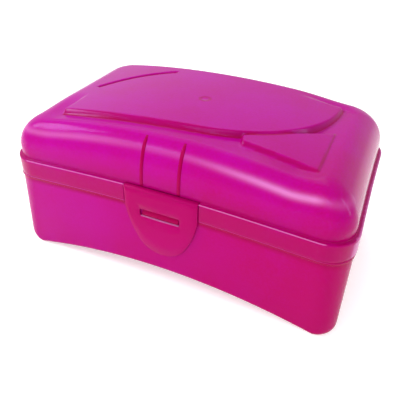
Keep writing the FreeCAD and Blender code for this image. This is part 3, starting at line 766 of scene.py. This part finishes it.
def build_flap():
    """Plate with a slot and rounded edges, a barrel along its top and a pin at each end."""
    plate_top = FLAP_TOP - PLATE_UNDER_TOP
    outline = np.vstack([
        flap_outline(),
        [(FLAP_HALF, plate_top - 6), (FLAP_HALF, plate_top)],
        [(0.0, plate_top), (-FLAP_HALF, plate_top), (-FLAP_HALF, plate_top - 6)],
    ])
    middle = np.array([0.0, (SLOT_LOW + SLOT_HIGH) / 2])
    corner = np.array([-FLAP_HALF, plate_top])
    outer = resample(outline, FLAP_STEPS, corner)
    slot_corner = np.array([-SLOT_HALF, SLOT_HIGH])
    slot = resample(np.array(round_slot(0.0, 6)), FLAP_STEPS, slot_corner)
    front = -FLAP_FRONT
    shell = Shell(ring_size=FLAP_STEPS)

    def edge_ring(points, shrink, y):
        """A ring of the flap: the outline drawn towards the middle by a small amount."""
        away = points - middle
        reach = np.linalg.norm(away, axis=1)[:, None]
        moved = points - away / reach * shrink
        return moved[:, 0], np.full(FLAP_STEPS, y), moved[:, 1]

    rounds = [(0.0, 0.7), (0.0, 0.45), (0.12, 0.18), (0.45, 0.0)]
    first = None
    for shrink, depth in rounds:
        start = shell.ring(*edge_ring(outer, shrink, front + depth))
        first = start if first is None else first
    for share in (0.3, 0.65):
        between = outer * (1 - share) + slot * share
        shell.ring(*edge_ring(between, 0.0, front))
    for shrink, depth in ((-0.35, 0.0), (-0.1, 0.1), (0.0, 0.35), (0.0, 1.05), (-0.3, 1.4)):
        shell.ring(*edge_ring(slot, shrink, front + depth))
    for share in (0.65, 0.3):
        between = outer * (1 - share) + slot * share
        shell.ring(*edge_ring(between, 0.0, front + FLAP_WALL))
    for shrink, depth in ((0.45, FLAP_WALL), (0.12, FLAP_WALL - 0.15), (0.0, FLAP_WALL - 0.4)):
        shell.ring(*edge_ring(outer, shrink, front + depth))
    now = np.arange(FLAP_STEPS)
    after = (now + 1) % FLAP_STEPS
    closing = np.column_stack([shell.last + now, shell.last + after, first + after, first + now])
    shell.faces.extend(closing.tolist())
    plate = shell.build("flap_plate")
    y, z = LATCH[1], LATCH[2]
    top = [(front + 0.06, plate_top - 1.0), (front + 0.02, z + 0.1)]
    top += arc_points((front + 1.1, z + 0.05), 1.1, 170, 90, 7)
    top += [(y + 1.0, z + BARREL_RADIUS), (y + 1.2, z + BARREL_RADIUS - 0.2)]
    top += arc_points((y, z), BARREL_RADIUS, 25, -110, 12)
    barrel = extrude_outline("barrel", top[::-1], -FLAP_HALF, FLAP_HALF, 0, 0.15, 2)
    pins = []
    for side in (-1, 1):
        ends = sorted((side * (FLAP_HALF - 0.5), side * LATCH_HIGH[0]))
        rim = arc_points((y, z), LATCH_PIN, 0, 345, 24)
        pins.append(extrude_outline("pin", rim, ends[0], ends[1], 0, 0))
    return join("latch_flap", [plate, barrel, *pins])


def build_catch():
    """The nub on the tub's front that stands in the flap's slot: a wedge with its lip below."""
    inside = -FLAP_FRONT + FLAP_WALL
    low = SLOT_LOW + NUB_RAISE
    profile = [
        (inside + 1.5, low), (inside + 1.5, low + 4.2), (inside + 0.5, low + 4.2),
        (inside - 0.1, low + 2.2), (inside - 0.6, low + 1.3), (inside - 0.6, low),
    ]
    half = SLOT_HALF - NUB_SHORTER
    return extrude_outline("catch_nub", profile, SLOT_SHIFT - half, SLOT_SHIFT + half, 0, 0.2)


def build_latch_ears():
    """Two small solid blocks on the lid beside the notch; the flap's pins end inside them."""
    y, z = LATCH[1], LATCH[2]
    profile = [(y - 0.75, z - 2.4), (y + 2.4, z - 2.4), (y + 2.4, z + 0.9), (y - 0.75, z + 0.9)]
    pieces = []
    near = FLAP_HALF + FLAP_GAP
    for side in (-1, 1):
        low, high = sorted((side * near, side * (near + EAR_LENGTH)))
        pieces.append(extrude_outline("ear", profile, low, high, 0, 0.3))
    return join("latch_ears", pieces)


# ---------------------------------------------------------------- trays and their rests

TRAY_INNER = TRAY_LOW[0]
TRAY_FLOOR = TRAY_LOW[2]
TRAY_TOP = TRAY_HIGH[2]
TRAY_END = TRAY_HIGH[0]
TRAY_SIDE = TRAY_HIGH[1] - SHELL_Y
TRAY_CORNER = 13.2
TRAY_LIP = 2.2
TRAY_WALL = 1.3
TRAY_INNER_CORNER = 2.5
THIN_ROUND = 0.3
FLANGE_LOW = 51.0
FLANGE_HIGH = 52.2
LONG_WALL_Y = -10.0
DIVIDER_TOP = 49.5
DIVIDER = 1.2
GRIP_HALF = 13.0
GRIP_CORNER = 8.0
REST_LOW = 45.0
REST_REACH = 3.1
REST_HALF = 1.2
SIDE_RESTS = (-76.0, -14.0, 14.0, 76.0)
END_RESTS = (-30, 30)
TRAY_SIDE_STEPS = 70
TRAY_END_STEPS = 60
TRAY_CORNER_STEPS = 8


def side_draw(xs):
    """How far the long sides are drawn in at a place along the box."""
    return WAIST * (1 - np.clip(np.abs(xs) / (HALF_LENGTH - SKIRT_CORNER), 0, 1) ** 2) ** 1.5


def tray_ring(lip, wall, side):
    """Plan of a tray, inset by the lip on its three outer sides and by the wall all round."""
    inset = lip + wall
    low = TRAY_INNER + wall
    high = TRAY_END - inset
    half = TRAY_SIDE - inset
    corner = TRAY_CORNER - inset
    small = max(TRAY_INNER_CORNER - wall, 0.8)
    along = np.linspace(low + small, high - corner, TRAY_SIDE_STEPS, endpoint=False)
    up = np.linspace(-1, 1, TRAY_END_STEPS, endpoint=False)
    turn = np.linspace(0, math.pi / 2, TRAY_CORNER_STEPS, endpoint=False)
    back_along = low + small + (high - corner) - along
    front_y = -half + side_draw(along)
    rear_y = half - side_draw(back_along)
    near = half - small - side_draw(np.array([low + small]))[0]
    xs = [
        along, high - corner + corner * np.sin(turn), np.full(TRAY_END_STEPS, high),
        high - corner + corner * np.cos(turn), back_along, low + small - small * np.sin(turn),
        np.full(TRAY_END_STEPS, low), low + small - small * np.cos(turn),
    ]
    ys = [
        front_y, -half + corner - corner * np.cos(turn), up * (half - corner),
        half - corner + corner * np.sin(turn), rear_y, near + small * np.cos(turn),
        -up * near, -near - small * np.sin(turn),
    ]
    return np.concatenate(xs) * side, np.concatenate(ys)


def build_tray(name, side, rear_walls, front_wall):
    """Bowl with a lip on three sides, dividers and a grip tab on the inner side."""
    edge = TRAY_END_STEPS + 2 * TRAY_CORNER_STEPS
    shell = Shell(ring_size=2 * (TRAY_SIDE_STEPS + edge), side_steps=TRAY_SIDE_STEPS)
    profile = [
        (TRAY_LIP, 2.0, TRAY_FLOOR), (TRAY_LIP, 1.0, TRAY_FLOOR + 0.25),
        (TRAY_LIP, 0.3, TRAY_FLOOR + 0.95), (TRAY_LIP, 0.0, TRAY_FLOOR + 2.0),
        (TRAY_LIP, 0.0, FLANGE_LOW - 0.6), (TRAY_LIP - 0.4, 0.0, FLANGE_LOW),
        (0.3, 0.0, FLANGE_LOW), (0.0, 0.1, FLANGE_LOW + 0.3),
        (0.0, 0.1, FLANGE_HIGH - 0.3), (0.3, 0.1, FLANGE_HIGH),
        (TRAY_LIP, TRAY_WALL - 0.4, FLANGE_HIGH), (TRAY_LIP, TRAY_WALL - 0.1, FLANGE_HIGH - 0.1),
        (TRAY_LIP, TRAY_WALL, FLANGE_HIGH - 0.5), (TRAY_LIP, TRAY_WALL, TRAY_FLOOR + 3.6),
        (TRAY_LIP, TRAY_WALL + 0.5, TRAY_FLOOR + 2.0),
        (TRAY_LIP, TRAY_WALL + 1.8, TRAY_FLOOR + TRAY_WALL),
    ]
    for i, (lip, wall, z) in enumerate(profile):
        shell.ring(*tray_ring(lip, wall, side), z)
        if i in (0, len(profile) - 1):
            shell.cap()
    pieces = [shell.build("tray_bowl")]
    low = TRAY_FLOOR + TRAY_WALL - 0.3
    half = DIVIDER / 2
    reach = TRAY_SIDE - TRAY_LIP - TRAY_WALL / 2 - WAIST
    outline = [(LONG_WALL_Y - half, low), (LONG_WALL_Y + half, low)]
    outline += [(LONG_WALL_Y + half, DIVIDER_TOP), (LONG_WALL_Y - half, DIVIDER_TOP)]
    ends = sorted((side * (TRAY_INNER + 0.6), side * (TRAY_END - TRAY_LIP - 0.6)))
    pieces.append(extrude_outline("long_wall", outline, *ends, 0, THIN_ROUND, 2))
    crossings = [(place, LONG_WALL_Y, reach) for place in rear_walls]
    crossings.append((front_wall, -reach, LONG_WALL_Y))
    for place, start, end in crossings:
        middle = side * place
        outline = [(middle - half, low), (middle + half, low)]
        outline += [(middle + half, DIVIDER_TOP), (middle - half, DIVIDER_TOP)]
        pieces.append(extrude_outline("cross_wall", outline, start, end, 1, THIN_ROUND, 2))
    crown = TRAY_TOP - GRIP_CORNER
    inside = GRIP_HALF - GRIP_CORNER
    tab = [(-GRIP_HALF, DIVIDER_TOP), (GRIP_HALF, DIVIDER_TOP)]
    tab += arc_points((inside, crown), GRIP_CORNER, 0, 90, 9)
    tab += arc_points((-inside, crown), GRIP_CORNER, 90, 180, 9)
    ends = sorted((side * TRAY_INNER, side * (TRAY_INNER + TRAY_WALL)))
    pieces.append(extrude_outline("grip", tab, *ends, 0, THIN_ROUND, 2))
    return join(name, pieces)


def build_tray_rests():
    """Short ribs inside the tub that the trays' lips stand on."""
    wall = HALF_WIDTH - TUB_INSET - TUB_WALL - INNER_SET_IN
    places = [(place, wall - side_draw(np.array([place]))[0], 0) for place in SIDE_RESTS]
    places += [(place, HALF_LENGTH - TUB_INSET - TUB_WALL - 0.6, 1) for place in END_RESTS]
    pieces = []
    for place, near, axis in places:
        low = place - REST_HALF
        high = place + REST_HALF
        for side in (-1, 1):
            out = side * (near + 1)
            tip = side * (near - REST_REACH)
            outline = [(out, REST_LOW), (out, FLANGE_LOW), (tip, FLANGE_LOW), (tip, REST_LOW + 2)]
            pieces.append(extrude_outline("rest", outline, low, high, axis, THIN_ROUND, 2))
    return join("tray_rests", pieces)


# ---------------------------------------------------------------- materials

def node(tree, kind, **values):
    made = tree.nodes.new(kind)
    for key, value in values.items():
        setattr(made, key, value)
    return made


SHEEN_TINT = (0.4, 0.33, 1.0, 1)
# Colour of the painted highlights on edges, rims and the front shoulder.
PAINTED_HIGHLIGHT = (0.56, 0.18, 0.44, 1)
CLOUD_SCALE = 26.0
GRAIN_SCALE = 700.0
GRAIN_DEPTH = 0.0002


def plastic(name, base, deep, pale, painted_light_tilt, start, sheen=0.16, clouds=0.3, roughness=0.2):
    """Cloudy dyed plastic: soft clouds, fine grain, a paler side painted as light, and marked edges
    in painted shade (deep) or painted highlight (lit).
    """
    material = bpy.data.materials.new(name)
    material.use_nodes = True
    tree = material.node_tree
    shader = tree.nodes["Principled BSDF"]
    link = tree.links.new
    place = node(tree, "ShaderNodeTexCoord")
    cloud = node(tree, "ShaderNodeTexNoise")
    cloud.inputs["Scale"].default_value = CLOUD_SCALE
    cloud.inputs["Detail"].default_value = 4.0
    cloud.inputs["Roughness"].default_value = 0.6
    link(place.outputs["Object"], cloud.inputs["Vector"])
    # Painted light: the plastic turns paler along the tilt, towards the top and one side, on top of
    # the clouds.
    slope = node(tree, "ShaderNodeVectorMath", operation="DOT_PRODUCT")
    slope.inputs[1].default_value = painted_light_tilt
    link(place.outputs["Object"], slope.inputs[0])
    spread = node(tree, "ShaderNodeMath", operation="MULTIPLY_ADD")
    link(cloud.outputs["Fac"], spread.inputs[0])
    spread.inputs[1].default_value = clouds * 3
    spread.inputs[2].default_value = start - clouds * 1.5
    total = node(tree, "ShaderNodeMath", operation="ADD", use_clamp=True)
    link(spread.outputs[0], total.inputs[0])
    link(slope.outputs["Value"], total.inputs[1])
    tone = node(tree, "ShaderNodeMix", data_type="RGBA")
    grain = node(tree, "ShaderNodeTexNoise")
    grain.inputs["Scale"].default_value = GRAIN_SCALE
    grain.inputs["Detail"].default_value = 2.0
    link(place.outputs["Object"], grain.inputs["Vector"])
    speckle = node(tree, "ShaderNodeMath", operation="MULTIPLY_ADD", use_clamp=True)
    link(grain.outputs["Fac"], speckle.inputs[0])
    speckle.inputs[1].default_value = 0.5
    less = node(tree, "ShaderNodeMath", operation="SUBTRACT")
    link(total.outputs[0], less.inputs[0])
    less.inputs[1].default_value = 0.25
    link(less.outputs[0], speckle.inputs[2])
    link(speckle.outputs[0], tone.inputs["Factor"])
    tone.inputs["A"].default_value = (*base, 1)
    tone.inputs["B"].default_value = (*pale, 1)
    # Painted shade and painted highlights: each point's mark mixes the colour towards the deep
    # crimson (up to 1) or towards the highlight colour (down to -1).
    painted_light_marks = node(tree, "ShaderNodeAttribute", attribute_name="painted_shade_and_highlight")
    shade = node(tree, "ShaderNodeMix", data_type="RGBA")
    link(painted_light_marks.outputs["Fac"], shade.inputs["Factor"])
    link(tone.outputs["Result"], shade.inputs["A"])
    shade.inputs["B"].default_value = (*deep, 1)
    lit = node(tree, "ShaderNodeMath", operation="MULTIPLY", use_clamp=True)
    link(painted_light_marks.outputs["Fac"], lit.inputs[0])
    lit.inputs[1].default_value = -1.0
    glow = node(tree, "ShaderNodeMix", data_type="RGBA")
    link(lit.outputs[0], glow.inputs["Factor"])
    link(shade.outputs["Result"], glow.inputs["A"])
    glow.inputs["B"].default_value = PAINTED_HIGHLIGHT
    link(glow.outputs["Result"], shader.inputs["Base Color"])
    rough = node(tree, "ShaderNodeMath", operation="MULTIPLY_ADD")
    link(grain.outputs["Fac"], rough.inputs[0])
    rough.inputs[1].default_value = 0.1
    rough.inputs[2].default_value = roughness - 0.05
    link(rough.outputs[0], shader.inputs["Roughness"])
    wave = node(tree, "ShaderNodeBump")
    wave.inputs["Strength"].default_value = 0.12
    wave.inputs["Distance"].default_value = GRAIN_DEPTH
    link(grain.outputs["Fac"], wave.inputs["Height"])
    link(wave.outputs["Normal"], shader.inputs["Normal"])
    shader.inputs["Subsurface Weight"].default_value = 0.06
    shader.inputs["Subsurface Radius"].default_value = (1.0, 0.25, 0.6)
    shader.inputs["Subsurface Scale"].default_value = 0.006
    shader.inputs["Specular IOR Level"].default_value = sheen
    shader.inputs["Specular Tint"].default_value = SHEEN_TINT
    return material


def paint_shade_and_highlights(piece, tone):
    """Store how much painted shade (up to 1) or painted highlight (down to -1) each point takes."""
    mesh = piece.data
    places = np.empty(len(mesh.vertices) * 3)
    mesh.vertices.foreach_get("co", places)
    places = places.reshape(-1, 3) / MM - (0, SHELL_Y, 0)
    values = np.clip(tone(places[:, 0], places[:, 1], places[:, 2]), -1, 1)
    attribute = mesh.attributes.new("painted_shade_and_highlight", "FLOAT", "POINT")
    attribute.data.foreach_set("value", values.astype(np.float32))


def painted_end_light(xs, zs):
    """Painted light on the right end, standing for light through its thin wall, more so towards the
    top.
    """
    return smooth_step((xs - HALF_LENGTH + 4) / 3) * smooth_step((zs - 12) / 30)


GLOW_DROP = 6.5
GLOW_HALF = 1.5
GLOW_FRONT = 42.0


def painted_shoulder_highlight(xs, ys, zs):
    """Painted highlight: a cloudy light band along the front shoulder, strongest near its right end.
    """
    middle = crown_height(xs, ys) - GLOW_DROP
    band = np.exp(-(((zs - middle) / GLOW_HALF) ** 2)) * (ys < -GLOW_FRONT)
    right = smooth_step((xs - 10) / 60) * smooth_step((88 - xs) / 8)
    left = smooth_step((-xs - 10) / 60)
    return band * (0.16 + 0.6 * right + 0.16 * left)


def lid_painted_shade_and_light(xs, ys, zs):
    """Painted shade on the relief edges, the foot of the dome, the valley at its foot and the skirt;
    painted highlights on the skirt's upper edge, the skirt's right end and the front shoulder.
    """
    over_skirt = zs - SKIRT_TOP_Z - seam_arch(xs)
    lines = lid_drop(xs, ys)[1] * smooth_step(over_skirt / 6 - 1)
    foot = smooth_step(1 - over_skirt / 14) * 0.3
    inward = np.minimum(HALF_WIDTH - np.abs(ys) - side_draw(xs), HALF_LENGTH - np.abs(xs))
    ledge = 0.5 + 1.2 * smooth_step((xs - 96) / 5)
    rim = (np.abs(over_skirt) < 0.45) * (inward < ledge)
    valley = np.exp(-(((over_skirt - 0.3) / 0.4) ** 2)) * (inward > 1.7)
    skirt = 0.6 * smooth_step(-over_skirt) * (1 - painted_end_light(xs, zs))
    skirt_end = 0.5 * painted_end_light(xs, zs) * (over_skirt < -1)
    deep = 1.1 * lines + foot * (over_skirt > 0) + 0.35 * valley + skirt
    return deep - 0.65 * rim - skirt_end - painted_shoulder_highlight(xs, ys, zs)


def tub_painted_shade_and_light(xs, ys, zs):
    """Painted shade makes the bead, the belly's edge and the feet deeper than the wall between them;
    a painted highlight line runs near the bead's top and painted light lies on the right end.
    """
    low = zs - belly_arch(xs) * (1 - np.clip(zs / SEAM_Z, 0, 1))
    feet = smooth_step((np.abs(xs) - FOOT_INNER + 8) / 14)
    under_seam = SEAM_Z + seam_arch(xs) - zs
    bead = smooth_step((BEAD_HEIGHT + 1.2 - under_seam) / 1.0)
    lit = (under_seam < 0.5) * (under_seam > 0.3)
    edge = 0.4 * smooth_step(1 - low / 3)
    return edge + 0.2 * feet + bead - 1.4 * lit - 0.15 * painted_end_light(xs, zs) * (bead < 0.5)


def flap_painted_shade_and_light(xs, ys, zs):
    """Painted shade makes the flap deeper where it lies over the lid and rim; below, it looks like
    the tub. The slot's lower lip takes a painted highlight."""
    upper = smooth_step((zs - FLAP_CHIN[1]) / (SLOT_HIGH - FLAP_CHIN[1]))
    at_lip = (np.abs(zs - SLOT_LOW) < 0.2) & (np.abs(xs - SLOT_SHIFT) < SLOT_HALF)
    return 0.4 * upper - 1.1 * (at_lip & (ys > 0.05 - FLAP_FRONT))


def even_tone(xs, ys, zs):
    return np.full(xs.shape, 0.2)


# Painted shade all over: the catch nub stands dark in the slot, the ribs look dark.
def painted_shade_all_over(xs, ys, zs):
    return np.ones(xs.shape)


# Deep crimson that the painted shade mixes towards; the ribs take it all over.
PAINTED_SHADE_CRIMSON = (0.27, 0.0002, 0.05)
# Tilts of the painted light: the lid paler upwards and to the rear left, the tub paler to the left,
# the latch, ribs and trays slightly paler upwards.
RISING = (-1.6, 1.2, 12.0)
LEVEL = (-0.5, 0.5, 2.0)
LEFTWARD = (-4.0, 0.5, 2.0)
LID_PLASTIC = plastic(
    "cloudy magenta lid", (0.325, 0.0003, 0.107), PAINTED_SHADE_CRIMSON, (0.36, 0.001, 0.28), RISING, -0.6,
    sheen=0.12, roughness=0.15,
)
TUB_PLASTIC = plastic(
    "cloudy magenta tub", (0.32, 0.0003, 0.085), PAINTED_SHADE_CRIMSON, (0.335, 0.002, 0.2), LEFTWARD, 0.3,
    sheen=0.06,
)
LATCH_PLASTIC = plastic(
    "deep magenta latch", (0.32, 0.0003, 0.09), PAINTED_SHADE_CRIMSON, (0.33, 0.001, 0.12), LEVEL, 0.2, sheen=0.06
)
# The ribs' deep crimson is painted shade.
RIB_PLASTIC = plastic(
    "deep crimson ribs", PAINTED_SHADE_CRIMSON, PAINTED_SHADE_CRIMSON, (0.3, 0.0006, 0.07), LEVEL, 0.2, sheen=0.05
)
TRAY_PLASTIC = plastic(
    "pale pink trays", (0.6, 0.12, 0.3), (0.5, 0.05, 0.2), (0.66, 0.24, 0.42), LEVEL, 0.4
)

# ---------------------------------------------------------------- pieces

PIECES = [
    (build_tub(), "tub", "tub_plastic", TUB_PLASTIC, ["tub"], tub_painted_shade_and_light),
    (build_hinge_lugs(), "tub", "tub_plastic", TUB_PLASTIC, [], even_tone),
    (build_catch(), "tub", "tub_plastic", TUB_PLASTIC, [], painted_shade_all_over),
    (build_tray_rests(), "tub", "tub_plastic", TUB_PLASTIC, [], even_tone),
    (build_lid(), "lid", "lid_plastic", LID_PLASTIC, ["lid"], lid_painted_shade_and_light),
    (build_hinge_hooks(), "lid", "lid_plastic", LID_PLASTIC, [], even_tone),
    (build_latch_ears(), "lid", "lid_plastic", LID_PLASTIC, [], even_tone),
    (
        join("lid_ribs", [build_rib(place) for place in RIB_PLACES]),
        "lid", "lid_plastic", RIB_PLASTIC, [], painted_shade_all_over,
    ),
    (build_flap(), "latch", "latch_plastic", LATCH_PLASTIC, ["latch"], flap_painted_shade_and_light),
    (
        build_tray("left_tray_bowl", -1, [52.0], 36.0),
        "left_tray", "tray_plastic", TRAY_PLASTIC, ["left_tray"], even_tone,
    ),
    (
        build_tray("right_tray_bowl", 1, [36.0, 66.0], 52.0),
        "right_tray", "tray_plastic", TRAY_PLASTIC, ["right_tray"], even_tone,
    ),
]
for piece, body, slot, material, nodes, tone in PIECES:
    paint_shade_and_highlights(piece, tone)
    finish_piece(piece, body, slot, material, *nodes)

# ---------------------------------------------------------------- floor, light and camera

STAGE_SIZE = 9.0
floor_mesh = bpy.data.meshes.new("floor")
half_stage = STAGE_SIZE / 2
floor_mesh.from_pydata(
    [(-half_stage, -half_stage, 0), (half_stage, -half_stage, 0),
     (half_stage, half_stage, 0), (-half_stage, half_stage, 0)],
    [], [(0, 1, 2, 3)],
)
floor = bpy.data.objects.new("floor", floor_mesh)
bpy.context.scene.collection.objects.link(floor)
paper = bpy.data.materials.new("pale paper")
paper.use_nodes = True
paper_nodes = paper.node_tree
paper_shader = paper_nodes.nodes["Principled BSDF"]
paper_place = node(paper_nodes, "ShaderNodeTexCoord")
paper_grain = node(paper_nodes, "ShaderNodeTexNoise")
paper_grain.inputs["Scale"].default_value = 3.0
paper_tone = node(paper_nodes, "ShaderNodeMix", data_type="RGBA")
paper_tone.inputs["A"].default_value = (0.94, 0.94, 0.94, 1)
paper_tone.inputs["B"].default_value = (0.96, 0.96, 0.96, 1)
paper_nodes.links.new(paper_place.outputs["Object"], paper_grain.inputs["Vector"])
paper_nodes.links.new(paper_grain.outputs["Fac"], paper_tone.inputs["Factor"])
paper_nodes.links.new(paper_tone.outputs["Result"], paper_shader.inputs["Base Color"])
paper_shader.inputs["Roughness"].default_value = 0.9
paper_shader.inputs["Specular IOR Level"].default_value = 0.1
paper_shader.inputs["Emission Color"].default_value = (1, 1, 1, 1)
paper_shader.inputs["Emission Strength"].default_value = 0.24
floor.data.materials.append(paper)

world = bpy.context.scene.world or bpy.data.worlds.new("studio")
bpy.context.scene.world = world
world.use_nodes = True
backdrop = world.node_tree.nodes["Background"]
backdrop.inputs["Color"].default_value = (1.0, 1.0, 1.0, 1)
backdrop.inputs["Strength"].default_value = 0.85


def soft_light(name, place, target, size, power):
    """A rectangular lamp at a place, turned to a target; lengths in metres."""
    data = bpy.data.lights.new(name, "AREA")
    data.shape = "RECTANGLE"
    data.size, data.size_y = size
    data.energy = power
    lamp = bpy.data.objects.new(name, data)
    lamp.location = place
    aim = Vector(target) - Vector(place)
    lamp.rotation_euler = aim.to_track_quat("-Z", "Y").to_euler()
    bpy.context.scene.collection.objects.link(lamp)


MIDDLE = (0.0, 0.0, 0.05)
soft_light("key", (-0.4, 0.5, 1.2), MIDDLE, (1.4, 1.0), 6.0)
soft_light("front_strip", (-0.2, -0.75, 0.5), MIDDLE, (0.9, 0.08), 2.1)
soft_light("right_spark", (0.2, -0.62, 0.5), MIDDLE, (0.26, 0.05), 1.1)
soft_light("left_strip", (-0.64, -0.32, 0.57), MIDDLE, (0.35, 0.2), 3.4)
soft_light("right_strip", (0.8, 0.1, 0.35), MIDDLE, (0.1, 0.5), 1.1)

AZIMUTH = math.radians(22.95)
ELEVATION = math.radians(32.79)
ROLL = math.radians(1.52)
DISTANCE = 0.31415
TARGET = Vector((0, -0.00235, 0.045))
back = Vector((
    math.sin(AZIMUTH) * math.cos(ELEVATION),
    -math.cos(AZIMUTH) * math.cos(ELEVATION),
    math.sin(ELEVATION),
))
level_right = Vector((math.cos(AZIMUTH), math.sin(AZIMUTH), 0))
level_up = back.cross(level_right)
right = level_right * math.cos(ROLL) + level_up * math.sin(ROLL)
up = level_up * math.cos(ROLL) - level_right * math.sin(ROLL)
lens = bpy.data.cameras.new("camera")
lens.lens = 42.5
lens.sensor_width = 36
lens.shift_x = -0.008
lens.shift_y = -0.060
camera = bpy.data.objects.new("camera", lens)
turned = Matrix((right, up, back)).transposed().to_4x4()
turned.translation = TARGET + back * DISTANCE
camera.matrix_world = turned
bpy.context.scene.collection.objects.link(camera)
bpy.context.scene.camera = camera
bpy.context.scene.view_settings.view_transform = "Standard"
